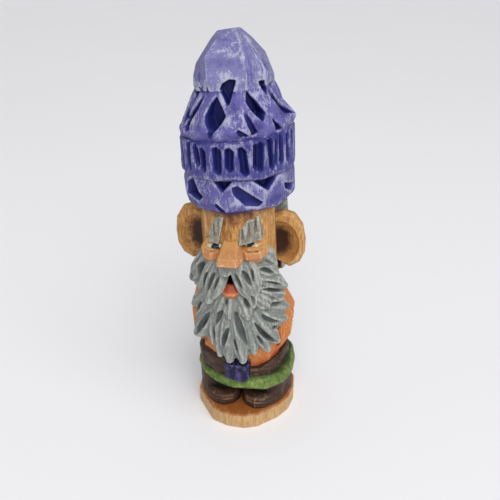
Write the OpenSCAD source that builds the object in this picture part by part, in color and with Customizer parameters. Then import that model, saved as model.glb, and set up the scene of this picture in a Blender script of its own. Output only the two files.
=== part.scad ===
// Tomte gnome figurine, carved from a square basswood block and painted.
// Each carved and painted form is a solid of its own, and neighbours meet face to face.
// +Z is up, the figure faces -Y, and the origin is under the middle of the stand.

/* [Stand] */
// Height of the stand
stand_h = 6.7; // [5:0.1:9]
// Size of the stand's outline, as a share of the block's
stand_scale = 1; // [0.95:0.01:1.05]

/* [Body] */
// Height of the boots above the stand
boot_h = 10.6; // [9:0.1:11.5]
// Height of the trousers
trouser_h = 7; // [6:0.1:8]
// Half width of the trousers
trouser_r = 19.1; // [18:0.1:20]
// Height of the shirt, from the trousers to the neck
torso_h = 33.7; // [32:0.1:36]
// Height of the belt
belt_h = 5.2; // [4:0.1:6]
// Half width of the belt
belt_r = 17.4; // [17:0.1:18.5]
// Half width of the body at the elbows
elbow_r = 20.3; // [19.5:0.1:21]
// Sideways lean of the torso
lean_x = -0.9; // [-1.5:0.1:1.5]

/* [Head] */
// Height of the face, from the neck to the hat
face_h = 33.8; // [33:0.1:36]
// Half width of the head
head_r = 12.6; // [12:0.1:13.4]
// Sideways place of the head
head_x = -0.2; // [-1:0.1:1]
// Distance from the middle of the head to the rim of an ear
ear_reach = 24; // [22:0.1:25]
// Height of an ear
ear_h = 21.4; // [19:0.1:23]
// Distance from the middle of the head to the tip of the nose
nose_reach = 24.5; // [23:0.1:26]
// Sideways tilt of the head, in degrees
head_tilt = 2; // [0:0.5:4]
// Turn of the head towards the figure's right, in degrees
head_turn = 2.5; // [0:0.5:5]

/* [Beard] */
// Length of the beard's middle locks, from the lip
beard_len = 30; // [26:0.5:31]
// Half width of the beard
beard_r = 19.4; // [18:0.1:20]
// Locks in the lower beard
lock_count = 9; // [5:2:11]

/* [Hat] */
// Height of the patterned band below the cuff
band_h = 11.2; // [10:0.1:12]
// Height of the ribbed cuff
cuff_h = 13; // [11:0.1:14]
// Half width of the cuff
cuff_r = 19; // [18.8:0.1:20]
// Ribs round the cuff
rib_count = 34; // [24:1:40]
// Height of the crown, above the cuff
crown_h = 14; // [12:0.1:15]
// Height of the folded tip
tip_h = 16; // [14.5:0.1:17]
// Rise of the cuff's upper edge towards the figure's left, in degrees
cuff_slope = 3; // [0:0.5:4]

/* [Hidden] */

// Flat cuts round a lofted form
facets = 24;

// Heights of the joins between the forms
boot_z = stand_h;
trouser_z = boot_z + boot_h;
belt_z = trouser_z + trouser_h;
neck_z = belt_z + torso_h;
hat_z = neck_z + face_h;
cuff_z = hat_z + band_h;
crown_z = cuff_z + cuff_h;
tip_z = crown_z + crown_h;
top_z = tip_z + tip_h;

// Heights on the face
eye_z = neck_z + 23.6;
nose_z = neck_z + 16;
lip_z = neck_z + 6;
ear_z = neck_z + 17.6;
face_y = -15.2;
// The forehead, brows, eyes and cheeks sit a little to the figure's left of the nose
face_x = 0.9;

// Paints
bare_wood = "burlywood";
skin = "peru";
pink_skin = "darksalmon";
shirt_paint = "chocolate";
belt_paint = "saddlebrown";
trouser_paint = "olivedrab";
hair_paint = "gray";
hat_paint = "slateblue";
cuff_paint = "darkslateblue";

// The stand's outline on the block, clockwise from the figure's right side
stand_outline = [[-20.2, 1], [-19.6, -5.4], [-11.2, -16.4], [-5, -18.8], [1.5, -19],
    [7.2, -17], [14, -11], [17.6, -5.4], [18.9, 1.2], [18.3, 8.8], [12.8, 15.8],
    [4, 19.4], [-6.4, 18.8], [-14.4, 15.6], [-19.2, 8.6]];

// One level of a loft: a rounded rectangle of half widths rx and ry about [cx, cy],
// which rises towards +X by slope. A power of 2 is an ellipse, and a higher one is squarer.
function level(z, rx, ry, cx, cy, slope, power) = [for (i = [0 : facets - 1])
    let (a = 360 * i / facets, c = cos(a), s = sin(a), x = rx * sign(c) * pow(abs(c), 2 / power))
    [cx + x, cy + ry * sign(s) * pow(abs(s), 2 / power), z + x * tan(slope)]];

// A closed solid through levels [z, rx, ry], [z, rx, ry, cx, cy] or
// [z, rx, ry, cx, cy, slope], lowest first
module loft(levels, power = 2.4) {
    rows = len(levels);
    points = [for (l = levels) each level(l[0], l[1], l[2],
        is_undef(l[3]) ? 0 : l[3], is_undef(l[4]) ? 0 : l[4], is_undef(l[5]) ? 0 : l[5], power)];
    sides = [for (r = [0 : rows - 2], i = [0 : facets - 1])
        let (j = (i + 1) % facets, low = r * facets, high = low + facets)
        each [[low + i, high + i, high + j], [low + i, high + j, low + j]]];
    bottom = [[for (i = [0 : facets - 1]) i]];
    top = [[for (i = [facets - 1 : -1 : 0]) (rows - 1) * facets + i]];
    polyhedron(concat(points), concat(sides, bottom, top));
}

// Joins what it holds into one faceted solid of the same size
module carved() {
    resize([0, 0, 0]) children();
}

// An ellipsoid with flat cuts
module bead(centre, radii, cuts = 12) {
    translate(centre) scale(radii) sphere(1, $fn = cuts);
}

// A tapered lock of hair through three points, with a radius at each
module lock(points, radii) {
    hull() {
        bead(points[0], radii[0] * [1, 1, 1], 8);
        bead(points[1], radii[1] * [1, 1, 1], 8);
    }
    hull() {
        bead(points[1], radii[1] * [1, 1, 1], 8);
        bead(points[2], radii[2] * [1, 1, 1], 8);
    }
}

// side is 1 for the figure's left, at +X, and -1 for its right
module on_side(side) {
    if (side < 0) mirror([1, 0, 0]) children(); else children();
}

// The torso's frame
module in_torso() {
    translate([lean_x, 0, 0]) children();
}

// The head's and hat's frame, tilted and turned about the middle of the face
module in_head() {
    pivot = [0, 0, neck_z + 20];
    translate(pivot + [head_x, 0, 0]) rotate([0, -head_tilt, -head_turn]) translate(-pivot) children();
}

// ---- Stand, boots, trousers and belt ----

module stand() {
    color(bare_wood) linear_extrude(stand_h) scale(stand_scale) polygon(stand_outline);
}

module boot(side) {
    color(belt_paint) on_side(side) carved() difference() {
        union() {
            // Shaft, under the trousers
            loft([[boot_z, 9, 12.5, 9.6, 1.5], [boot_z + 5, 9.2, 13, 9.6, 1.5],
                [trouser_z, 8.8, 13, 9.4, 1.5]], 3);
            // Toe cap
            hull() {
                bead([5, -9.4, boot_z + 1.2], [4.6, 5.6, 5.2], 16);
                bead([12.4, -6.4, boot_z + 1.2], [5.4, 6.2, 5.2], 16);
            }
        }
        translate([-20, -30, -1]) cube([20.4, 60, 40]);
        translate([-30, -30, boot_z - 20]) cube([60, 60, 20]);
        trousers_form();
    }
}

module trousers_form() {
    loft([[trouser_z, trouser_r - 1.6, 16.6], [trouser_z + 2, trouser_r - 0.3, 17.8],
        [trouser_z + trouser_h * 0.7, trouser_r, 18.2], [belt_z, trouser_r - 1.6, 16.8]]);
}

module trousers() {
    color(trouser_paint) trousers_form();
}

module belt_form() {
    loft([[belt_z, belt_r - 0.6, 16.4], [belt_z + 1.2, belt_r, 16.9],
        [belt_z + belt_h - 1.2, belt_r - 0.2, 16.8],
        [belt_z + belt_h, belt_r - 1, 16]]);
}

module belt() {
    color(belt_paint) carved() difference() {
        belt_form();
        in_torso() shirt_form();
    }
}

module buckle() {
    color(cuff_paint) carved() difference() {
        translate([-0.4, -17.4, belt_z + 4.3]) hull() {
            cube([9.6, 3.4, 8.6], center = true);
            cube([8.6, 4.8, 7.6], center = true);
        }
        belt_form();
        in_torso() shirt_form();
        trousers_form();
    }
}

// ---- Shirt, sleeves and hands ----

module shirt_form() {
    loft([[belt_z, 15.6, 14.6], [belt_z + belt_h + 0.6, 15.8, 14.8], [belt_z + 10, 15, 14.6],
        [belt_z + 18, 15.8, 15], [neck_z - 7, 16, 15.2], [neck_z - 3, 14.5, 14.5], [neck_z, 11, 12]]);
}

module shirt() {
    color(shirt_paint) carved() difference() {
        in_torso() shirt_form();
        in_head() head_form();
    }
}

// The upper arm hangs to the elbow, and the forearm folds behind the back
module sleeve_form() {
    hull() {
        bead([elbow_r - 5.4, 0.5, neck_z - 9.5], [4.6, 6.6, 5.4], 16);
        bead([elbow_r - 4.4, 1.5, belt_z + 13], [4.4, 5.6, 4], 16);
    }
    hull() {
        bead([elbow_r - 4.6, 3, belt_z + 13.4], [4.4, 5, 3.8], 16);
        bead([7, 14, belt_z + 13], [3.6, 3.6, 3.6], 16);
    }
}

module sleeve(side) {
    color(shirt_paint) in_torso() on_side(side) carved() difference() {
        sleeve_form();
        shirt_form();
    }
}

module hands() {
    color(skin) in_torso() carved() difference() {
        hull() {
            bead([-3.4, 15.8, belt_z + 13], [3.2, 2.8, 3.4], 12);
            bead([3.4, 15.8, belt_z + 13], [3.2, 2.8, 3.4], 12);
        }
        shirt_form();
        sleeve_form();
        mirror([1, 0, 0]) sleeve_form();
    }
}

// ---- Head and face, in the head's frame ----

module head_form() {
    loft([[neck_z - 2, 11, 13], [neck_z + 8, head_r + 0.2, 14.8],
        [eye_z, head_r, -face_y], [hat_z, head_r - 0.4, -face_y],
        [hat_z + 5, head_r - 2, 13]], 3.2);
}

// The forehead stands forward of the temples and runs down into the bridge of the nose
module forehead_form() {
    hull() {
        translate([face_x - 7.8, face_y - 0.6, eye_z + 2]) cube([15.6, 4, hat_z - eye_z - 1]);
        translate([face_x - 7, face_y - 1.6, eye_z + 2.6]) cube([14, 4, hat_z - eye_z - 1.6]);
        translate([-2.4, face_y - 2, eye_z - 2]) cube([4.8, 4, 6]);
    }
}

module eyes_form() {
    for (side = [-1, 1]) bead([face_x + side * 5.6, face_y - 0.9, eye_z - 1.4], [1.9, 1.7, 1.3], 16);
}

module head() {
    color(skin) in_head() carved() difference() {
        union() {
            head_form();
            forehead_form();
        }
        eyes_form();
        // Mouth, over the lower lip
        bead([0, face_y - 1, lip_z + 4.6], [2.6, 3.4, 3.2], 12);
    }
}

module ear_outline() {
    low = ear_z - ear_h / 2;
    high = ear_z + ear_h / 2;
    polygon([[head_r - 2, low + 3], [head_r + 1.4, low + 0.6], [head_r + 4.6, low],
        [head_r + 8, low + 2.4], [ear_reach - 0.4, low + 6.6], [ear_reach, high - 7.4],
        [ear_reach - 2, high - 2.6], [head_r + 6, high], [head_r + 3, high - 0.8],
        [head_r - 2, high - 3.6]]);
}

module ear(side) {
    color(skin) in_head() translate([-1, 0, 0]) on_side(side) carved() difference() {
        translate([0, 3.4, 0]) rotate([90, 0, 0]) hull() {
            linear_extrude(4.6) ear_outline();
            linear_extrude(6.4) offset(delta = -1.5) ear_outline();
        }
        // Hollow of the ear
        hull() {
            translate([head_r - 1, -4, ear_z - 6.6]) cube([6.6, 1, 13]);
            translate([head_r - 1, -1.4, ear_z - 5]) cube([5, 1, 10]);
        }
        translate([side, 0, 0]) head_form();
    }
}

module nose() {
    color(pink_skin) in_head() carved() difference() {
        hull() {
            translate([-2.2, face_y - 2.4, eye_z - 0.6]) cube([4.4, 2.4, 0.6]);
            translate([-4.2, -nose_reach + 2.2, nose_z]) cube([8.2, 10, 2.6]);
            translate([-3.3, -nose_reach, nose_z + 0.8]) cube([6.4, 10, 2]);
        }
        head_form();
        forehead_form();
    }
}

module cheek_form() {
    hull() {
        bead([5.2, face_y - 0.4, nose_z + 2.2], [2.8, 3, 3], 12);
        bead([7.6, face_y + 0.4, nose_z + 3.4], [2.8, 2.8, 4.2], 12);
    }
}

module cheek(side) {
    color(pink_skin) in_head() carved() difference() {
        translate([face_x, 0, 0]) on_side(side) cheek_form();
        head_form();
        forehead_form();
        eyes_form();
        nose_block();
    }
}

// The nose, a little wider, so that what is beside it stays clear
module nose_block() {
    hull() {
        translate([-2.3, -nose_reach, eye_z - 0.6]) cube([4.6, 20, 2]);
        translate([-4.3, -nose_reach, nose_z - 0.4]) cube([8.4, 20, 3.4]);
    }
}

module eye(side) {
    color("ivory") in_head() intersection() {
        eyes_form();
        translate([face_x + side * 6, face_y, eye_z]) cube(8, center = true);
    }
}

module brow_form() {
    translate([0, face_y + 1, 0]) rotate([90, 0, 0]) linear_extrude(3.4)
        polygon([[2.5, eye_z - 1], [5.6, eye_z + 0.4], [8.8, eye_z + 2.8], [8.2, eye_z + 9.2],
            [5.4, eye_z + 7.6], [2.8, eye_z + 5.6]]);
}

module brow(side) {
    color(hair_paint) in_head() carved() difference() {
        translate([face_x, 0, 0]) on_side(side) brow_form();
        head_form();
        forehead_form();
        eyes_form();
        nose_block();
    }
}

module lip() {
    color(pink_skin) in_head() carved() difference() {
        bead([-0.4, face_y - 3, lip_z], [3.3, 3.2, 2.5], 16);
        head_form();
        bead([0, face_y - 1, lip_z + 4.6], [2.6, 3.4, 3.2], 12);
    }
}

// ---- Hair, whiskers, moustache and beard ----

module hair() {
    color(hair_paint) carved() difference() {
        in_head() loft([[neck_z - 1.5, 13, 15.4], [neck_z + 6, head_r + 1.6, 17.4],
            [eye_z, head_r + 2, 17.8], [hat_z - 0.2, head_r + 1.6, 17.4]], 2.8);
        in_head() head_form();
        in_head() translate([-30, -60, 0]) cube([60, 63.5, top_z]);
        in_torso() {
            shirt_form();
            sleeve_form();
            mirror([1, 0, 0]) sleeve_form();
        }
    }
}

// A point on the beard, at an angle from the front and a height, r from the torso's middle
function beard_at(angle, z, r) = [r * sin(angle), -r * cos(angle), z];

// Side whiskers: locks that turn outwards below the cheek
module whisker_form() {
    for (i = [0 : 3]) {
        z = neck_z + 14.6 - 5.4 * i;
        tip = [46, 60, 64, 66][i];
        lock([beard_at(26, z, 17.4), beard_at(tip - 18, z - 3, beard_r - 1.2),
            beard_at(tip, z - 6, beard_r)], [3, 3, 1.2]);
    }
}

module whisker(side) {
    color(hair_paint) in_torso() carved() difference() {
        on_side(side) whisker_form();
        shirt_form();
        on_side(side) sleeve_form();
        beard_form();
        on_face() face_block();
    }
}

// The head's frame, inside the torso's
module on_face() {
    translate([-lean_x, 0, 0]) in_head() children();
}

// The head, cheeks, nose and lip, as one solid to keep clear of
module face_block() {
    head_form();
    nose_block();
    translate([face_x, 0, 0]) for (side = [-1, 1]) on_side(side) cheek_form();
    bead([-0.4, face_y - 3, lip_z], [3.3, 3.2, 2.5], 16);
}

// Each half of the moustache runs from under the nose, out and down
module moustache_form() {
    lock([[2.4, face_y - 2.6, nose_z - 2.8], [6.2, face_y - 3.8, nose_z - 8.6],
        [9.4, face_y - 3.4, nose_z - 18]], [2.9, 3.3, 2]);
    lock([[9.4, face_y - 3.4, nose_z - 18], [10.2, face_y - 3, nose_z - 20.4],
        [10.6, face_y - 2.4, nose_z - 22.6]], [2, 1.5, 0.9]);
}

module moustache(side) {
    color(hair_paint) in_torso() carved() difference() {
        on_face() on_side(side) moustache_form();
        on_face() face_block();
        on_side(side) whisker_form();
        beard_form();
        on_face() bead([0, face_y - 1, lip_z + 4.6], [2.6, 3.4, 3.2], 12);
    }
}

// Lower locks fan out from under the lip, over the shirt
module beard_form() {
    hull() {
        bead([0, -15.2, lip_z - 4.4], [7.5, 4.2, 4], 12);
        bead([0, -13.6, belt_z + 22], [12.5, 5.4, 8], 12);
    }
    for (i = [0 : lock_count - 1]) {
        t = 2 * i / (lock_count - 1) - 1;
        tip_z = lip_z - beard_len + 7.5 * t * t;
        lock([beard_at(26 * t, lip_z - 9 + 2 * t * t, 16.2),
            beard_at(44 * t, lip_z - beard_len * 0.55 + 5 * t * t, beard_r - 1.6),
            beard_at(62 * t, tip_z, beard_r)], [3, 3.4, 1.4]);
    }
}

module beard() {
    color(hair_paint) in_torso() carved() difference() {
        beard_form();
        shirt_form();
        translate([-lean_x, 0, 0]) {
            belt_form();
            buckle_space();
        }
        sleeve_form();
        mirror([1, 0, 0]) sleeve_form();
        on_face() face_block();
    }
}

module buckle_space() {
    translate([-0.4, -17.4, belt_z + 4.3]) cube([9.8, 5, 8.8], center = true);
}

// ---- Hat ----

module band_form() {
    loft([[hat_z, 16.4, 17.2], [hat_z + 3, 18, 18.6], [hat_z + 7, 18.4, 18.8],
        [cuff_z, 17.8, 18.2]], 2.3);
}

module hat_band() {
    color(hat_paint) in_head() carved() difference() {
        band_form();
        head_form();
        forehead_form();
        translate([face_x, 0, 0]) for (side = [-1, 1]) on_side(side) brow_form();
    }
}

module hat_cuff() {
    color(cuff_paint) in_head() carved() difference() {
        loft([[cuff_z, cuff_r - 0.7, cuff_r - 0.4], [cuff_z + 2, cuff_r, cuff_r + 0.3],
            [crown_z - 3, cuff_r, cuff_r + 0.3, 0, 0, cuff_slope],
            [crown_z, cuff_r - 1.4, cuff_r - 0.9, 0, 0, cuff_slope]], 2.2);
        // Grooves between the ribs
        for (i = [0 : rib_count - 1]) rotate(360 * i / rib_count)
            translate([cuff_r + 0.4, 0, cuff_z + 1.6]) rotate([0, 0, 45])
                cube([1.3, 1.3, cuff_h - 3.2]);
    }
}

module hat_crown() {
    color(hat_paint) in_head() loft([[crown_z, 17.6, 17.8, 0, 0, cuff_slope],
        [crown_z + 3, 17.2, 17.4, 0, 0, cuff_slope], [crown_z + 9, 14.6, 15.4, 0.2],
        [tip_z, 12, 13, 0.4]], 2.1);
}

module hat_tip() {
    color(hat_paint) in_head() loft([[tip_z, 12.4, 13.4, 0.4], [tip_z + 2, 13, 13.8, 0.4],
        [tip_z + 6, 12.2, 12.8, 0.5], [tip_z + 11, 9.2, 9.8, 0.8], [top_z - 1, 4.8, 5.2, 1],
        [top_z, 2.6, 3, 1.2]], 2.1);
}

stand();
boot(1);  // boot_left
boot(-1);  // boot_right
trousers();
belt();
buckle();
shirt();
sleeve(1);  // sleeve_left
sleeve(-1);  // sleeve_right
hands();
head();
ear(1);  // ear_left
ear(-1);  // ear_right
nose();
cheek(1);  // cheek_left
cheek(-1);  // cheek_right
eye(1);  // eye_left
eye(-1);  // eye_right
brow(1);  // brow_left
brow(-1);  // brow_right
lip();
hair();
whisker(1);  // whisker_left
whisker(-1);  // whisker_right
beard();
moustache(1);  // moustache_left
moustache(-1);  // moustache_right
hat_band();
hat_cuff();
hat_crown();
hat_tip();
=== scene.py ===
import math

import bmesh
import bpy
import numpy as np
from mathutils import Matrix, Vector


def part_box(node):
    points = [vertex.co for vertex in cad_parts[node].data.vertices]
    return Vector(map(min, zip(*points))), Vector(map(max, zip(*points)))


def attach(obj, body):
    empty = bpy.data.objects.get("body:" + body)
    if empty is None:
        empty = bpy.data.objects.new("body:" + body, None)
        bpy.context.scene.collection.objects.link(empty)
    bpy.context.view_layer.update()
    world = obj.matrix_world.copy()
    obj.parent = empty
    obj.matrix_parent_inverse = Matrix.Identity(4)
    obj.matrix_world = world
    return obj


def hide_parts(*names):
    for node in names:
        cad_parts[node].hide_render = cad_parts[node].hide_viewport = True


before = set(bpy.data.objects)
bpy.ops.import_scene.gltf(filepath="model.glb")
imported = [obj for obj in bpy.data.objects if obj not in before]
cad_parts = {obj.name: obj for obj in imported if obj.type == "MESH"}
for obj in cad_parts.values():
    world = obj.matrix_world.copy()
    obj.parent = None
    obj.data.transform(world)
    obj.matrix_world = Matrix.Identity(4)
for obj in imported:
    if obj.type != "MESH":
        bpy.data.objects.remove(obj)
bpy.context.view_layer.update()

# Lengths below are in millimetres, in the frame of the CAD, and meshes are made in metres.
MM = 0.001
COARSE = 0.34
MEDIUM = 0.28
FINE = 0.2


# ---- Reading the CAD ----

def cad_points(node):
    """The corners of a CAD node's mesh."""
    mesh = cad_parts[node].data
    points = np.empty(len(mesh.vertices) * 3, np.float64)
    mesh.vertices.foreach_get("co", points)
    return points.reshape(-1, 3) / MM


def cad_box_mm(node):
    """The lowest and highest corners of a CAD node's box."""
    low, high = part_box(node)
    return np.array(low) / MM, np.array(high) / MM


# ---- The frames that forms are carved in ----

NECK_Z = cad_box_mm("shirt")[1][2]
LEAN_X = -0.9
HEAD_X = -0.2
HEAD_TILT = math.radians(2)
HEAD_TURN = math.radians(2.5)
HEAD_PIVOT = Vector((0, 0, NECK_Z + 20))

WORLD = Matrix.Identity(4)
TORSO = Matrix.Translation((LEAN_X, 0, 0))
HEAD = (Matrix.Translation(HEAD_PIVOT + Vector((HEAD_X, 0, 0)))
        @ Matrix.Rotation(-HEAD_TURN, 4, "Z") @ Matrix.Rotation(-HEAD_TILT, 4, "Y")
        @ Matrix.Translation(-HEAD_PIVOT))


def moved(points, matrix):
    """Points taken through a matrix."""
    turn = np.array(matrix)
    return points @ turn[:3, :3].T + turn[:3, 3]


def node_points(node, place):
    """The corners of a CAD node, as seen from one of the frames above."""
    return moved(cad_points(node), place.inverted())


def levels(node, place):
    """Lowest and highest height of a CAD node in one of the frames."""
    heights = node_points(node, place)[:, 2]
    return heights.min(), heights.max()


STAND_Z = cad_box_mm("stand")[1][2]
TROUSER_Z, BELT_Z = levels("trousers", WORLD)
HAT_Z, CUFF_Z = levels("hat_band", HEAD)
TIP_Z = levels("hat_tip", HEAD)[0]
CROWN_Z = CUFF_Z + 13
FACE_Y = -15.2
EYE_Z = NECK_Z + 22.2
LIP_Z = NECK_Z + 6


# ---- Small tools ----

def angle_round(x, y):
    """The angle round the figure in degrees: 0 in front, and positive at its left."""
    return np.degrees(np.arctan2(x, -y))


def sided(name, side):
    """The name of a node at the figure's left (side 1) or right (side -1)."""
    return name + ("_left" if side > 0 else "_right")


def raised(points, height):
    """Points with the last coordinate, their height, counted from a level."""
    return [(*point[:-1], point[-1] + height) for point in points]


def above(height, patches):
    """Patches of paint (angle, height, ...) with their heights counted from a level."""
    return [(angle, z + height, *rest) for angle, z, *rest in patches]


def outward(a, b):
    """The direction out of an outline given anticlockwise, across its side from a to b."""
    out = np.array([b[1] - a[1], a[0] - b[0]], float)
    return out / np.linalg.norm(out)


def blend(value, low, high):
    """0 at low and 1 at high, or the other way round."""
    return np.clip((value - low) / (high - low), 0, 1)


# ---- Carving: a form is a field on a grid, negative inside the wood ----

class Block:
    """A block of wood as a grid of points, with its angle round the middle and its radius."""

    def __init__(self, low, high, grid):
        self.grid = grid
        self.low = np.floor(np.array(low, float) / grid - 3) * grid
        counts = np.ceil((np.array(high, float) - self.low) / grid).astype(int) + 4
        axes = [(self.low[i] + grid * np.arange(counts[i])).astype(np.float32) for i in range(3)]
        self.x, self.y, self.z = np.meshgrid(*axes, indexing="ij", sparse=True)
        self.radius = np.hypot(self.x, self.y)
        self.angle = angle_round(self.x, self.y)
        self.shape = tuple(counts)

    def empty(self):
        return np.full(self.shape, 9, np.float32)


def block_for(points, grid, spare=0.6):
    """A block that holds some points."""
    return Block(points.min(0) - spare, points.max(0) + spare, grid)


def slab(block, normal, offset):
    """Everything behind a plane."""
    n = np.array(normal, float)
    size = np.linalg.norm(n)
    n = n / size
    return (block.x * n[0] + block.y * n[1] + block.z * n[2] - offset / size).astype(np.float32)


def plane(block, normal, point):
    """Everything behind the plane through a point."""
    return slab(block, normal, float(np.dot(normal, point)))


def ring(count, elevation, start):
    """Directions round a form, at one elevation in degrees."""
    a = np.radians(start) + 2 * np.pi * np.arange(count) / count
    e = math.radians(elevation)
    return np.stack([np.sin(a) * math.cos(e), -np.cos(a) * math.cos(e),
                     np.full(count, math.sin(e))], 1)


def knife_rows(rows, rng, sway):
    """Directions of knife cuts in rings of (elevation, count), each swayed a little at random."""
    cuts = [ring(count, elevation, rng.uniform(0, 360)) for elevation, count in rows]
    normals = np.concatenate(cuts)
    normals = normals + rng.normal(0, sway, normals.shape)
    return normals / np.linalg.norm(normals, axis=1, keepdims=True)


def knife(block, points, normals, rng=None, bite=0.0):
    """A convex form with a flat cut in each direction, touching the points or biting into them."""
    field = np.full(block.shape, -9, np.float32)
    for n in normals:
        reach = float((points @ n).max())
        if rng is not None:
            reach -= rng.uniform(0, bite)
        np.maximum(field, slab(block, n, reach), out=field)
    return field


UP_DOWN = np.array([[0, 0, 1.0], [0, 0, -1.0]])


def whittled(block, points, rows, seed, bite, sway, flat_ends=True):
    """A form that holds the points, cut in rings of (elevation, count) flats."""
    rng = np.random.default_rng(seed)
    normals = knife_rows(rows, rng, sway)
    field = knife(block, points, normals, rng, bite)
    if flat_ends:
        np.maximum(field, knife(block, points, UP_DOWN), out=field)
    return field


def hull_planes(points):
    """The flat faces round some points, as (direction, offset)."""
    shape = bmesh.new()
    for point in points:
        shape.verts.new(point)
    bmesh.ops.convex_hull(shape, input=shape.verts)
    middle = np.mean(np.array(points, float), axis=0)
    planes = {}
    for face in shape.faces:
        normal = np.array(face.normal)
        offset = float(normal @ np.array(face.verts[0].co))
        if normal @ middle > offset:
            normal, offset = -normal, -offset
        planes[tuple(np.round(normal, 2))] = (normal, offset)
    shape.free()
    return list(planes.values())


def hull(block, points):
    """The form that a knife leaves between flat cuts through some points."""
    field = np.full(block.shape, -9, np.float32)
    for normal, offset in hull_planes(points):
        np.maximum(field, slab(block, normal, offset), out=field)
    return field


def ellipsoid_points(centre, radii):
    """Points spread evenly over an ellipsoid, along a spiral."""
    count = 260
    i = np.arange(count) + 0.5
    z = 1 - 2 * i / count
    a = math.pi * (1 + math.sqrt(5)) * i
    r = np.sqrt(1 - z * z)
    unit = np.stack([r * np.cos(a), r * np.sin(a), z], 1)
    return np.array(centre) + unit * np.array(radii)


def box_points(low, high):
    """The eight corners of a box."""
    return np.array([[(low, high)[i][0], (low, high)[j][1], (low, high)[k][2]]
                     for i in (0, 1) for j in (0, 1) for k in (0, 1)], float)


def loft_points(rows, power=2.4):
    """Points on rounded rectangles (z, half width, half depth), as the CAD lofts them."""
    count = 48
    a = 2 * np.pi * np.arange(count) / count
    c, s = np.cos(a), np.sin(a)
    cx = np.sign(c) * np.abs(c) ** (2 / power)
    sy = np.sign(s) * np.abs(s) ** (2 / power)
    return np.concatenate([np.stack([rx * cx, ry * sy, np.full(count, z)], 1)
                           for z, rx, ry in rows])


def round_points(rows):
    """Points given as (angle, radius, height)."""
    return [(r * math.sin(math.radians(a)), -r * math.cos(math.radians(a)), z) for a, r, z in rows]


def ellipsoid(block, centre, radii):
    x = (block.x - centre[0]) / radii[0]
    y = (block.y - centre[1]) / radii[1]
    z = (block.z - centre[2]) / radii[2]
    k = np.sqrt(x * x + y * y + z * z)
    return ((k - 1) * min(radii)).astype(np.float32)


def rod(block, a, b, radius_a, radius_b):
    """A round rod from a to b."""
    a, b = np.array(a, float), np.array(b, float)
    line = b - a
    t = ((block.x - a[0]) * line[0] + (block.y - a[1]) * line[1]
         + (block.z - a[2]) * line[2]) / float(line @ line)
    t = np.clip(t, 0, 1)
    d = np.sqrt((block.x - a[0] - t * line[0]) ** 2 + (block.y - a[1] - t * line[1]) ** 2
                + (block.z - a[2] - t * line[2]) ** 2)
    return (d - radius_a - t * (radius_b - radius_a)).astype(np.float32)


def join(*fields):
    """Several forms as one."""
    out = fields[0]
    for other in fields[1:]:
        out = np.minimum(out, other)
    return out


def melt(a, b, width):
    """A union with a fillet."""
    h = np.clip(0.5 + 0.5 * (b - a) / width, 0, 1)
    return b + (a - b) * h - width * h * (1 - h)


def cut(field, tool):
    """A form with the tool's form taken away."""
    return np.maximum(field, -tool)


def veiner(block, field, points, radius):
    """A groove along points, as a small gouge leaves it."""
    return cut(field, join(*[rod(block, a, b, radius, radius) for a, b in zip(points[:-1], points[1:])]))


def blurred(field, sigma):
    """A Gaussian blur, with sigma in grid steps."""
    reach = max(1, int(2.5 * sigma + 0.5))
    weights = np.exp(-0.5 * (np.arange(-reach, reach + 1) / sigma) ** 2)
    weights /= weights.sum()
    for axis in range(3):
        edge = [(reach, reach) if a == axis else (0, 0) for a in range(3)]
        padded = np.pad(field, edge, mode="edge")
        size = field.shape[axis]
        out = np.zeros_like(field)
        for k, w in enumerate(weights):
            take = [slice(None)] * 3
            take[axis] = slice(k, k + size)
            out += np.float32(w) * padded[tuple(take)]
        field = out
    return field


CORNERS = [(i, j, k) for i in (0, 1) for j in (0, 1) for k in (0, 1)]
EDGES = [(a, b) for a in CORNERS for b in CORNERS
         if sum(b) - sum(a) == 1 and sum(abs(p - q) for p, q in zip(a, b)) == 1]


def surface(field):
    """Vertices and quads of the surface where the field is zero, one vertex to a grid cell."""
    inside = field < 0
    size = tuple(n - 1 for n in field.shape)
    count = np.zeros(size, np.int8)
    for c in CORNERS:
        count += inside[tuple(slice(c[i], c[i] + size[i]) for i in range(3))]
    active = (count > 0) & (count < 8)
    index = np.full(size, -1, np.int64)
    index[active] = np.arange(int(active.sum()))
    cells = np.argwhere(active)
    total = np.zeros((len(cells), 3))
    crossings = np.zeros(len(cells))
    for a, b in EDGES:
        fa = field[tuple((cells + a).T)]
        fb = field[tuple((cells + b).T)]
        cross = (fa < 0) != (fb < 0)
        t = fa[cross] / (fa[cross] - fb[cross])
        total[cross] += np.array(a) + t[:, None] * (np.array(b) - np.array(a))
        crossings[cross] += 1
    grid_points = cells + total / crossings[:, None]
    quads = []
    for axis in range(3):
        u, v = [(1, 2), (2, 0), (0, 1)][axis]
        first = [slice(1, n - 1) for n in field.shape]
        first[axis] = slice(0, field.shape[axis] - 1)
        second = list(first)
        second[axis] = slice(1, field.shape[axis])
        start = inside[tuple(first)]
        cross = start != inside[tuple(second)]
        spots = np.argwhere(cross)
        starts = start[cross]
        offset = np.array([0 if i == axis else 1 for i in range(3)])
        spots = spots + offset
        step_u = np.eye(3, dtype=int)[u]
        step_v = np.eye(3, dtype=int)[v]
        ring_of_cells = [spots - step_u - step_v, spots - step_v, spots, spots - step_u]
        quad = np.stack([index[tuple(r.T)] for r in ring_of_cells], 1)
        quad[~starts] = quad[~starts][:, ::-1]
        quads.append(quad)
    return grid_points, np.concatenate(quads)


def sample(field, grid_points):
    """The field at points given in grid steps."""
    base = np.clip(np.floor(grid_points).astype(int), 0, np.array(field.shape) - 2)
    part = grid_points - base
    out = np.zeros(len(grid_points))
    for c in CORNERS:
        weight = np.ones(len(grid_points))
        for i in range(3):
            weight = weight * (part[:, i] if c[i] else 1 - part[:, i])
        out += weight * field[tuple((base + c).T)]
    return out


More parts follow.
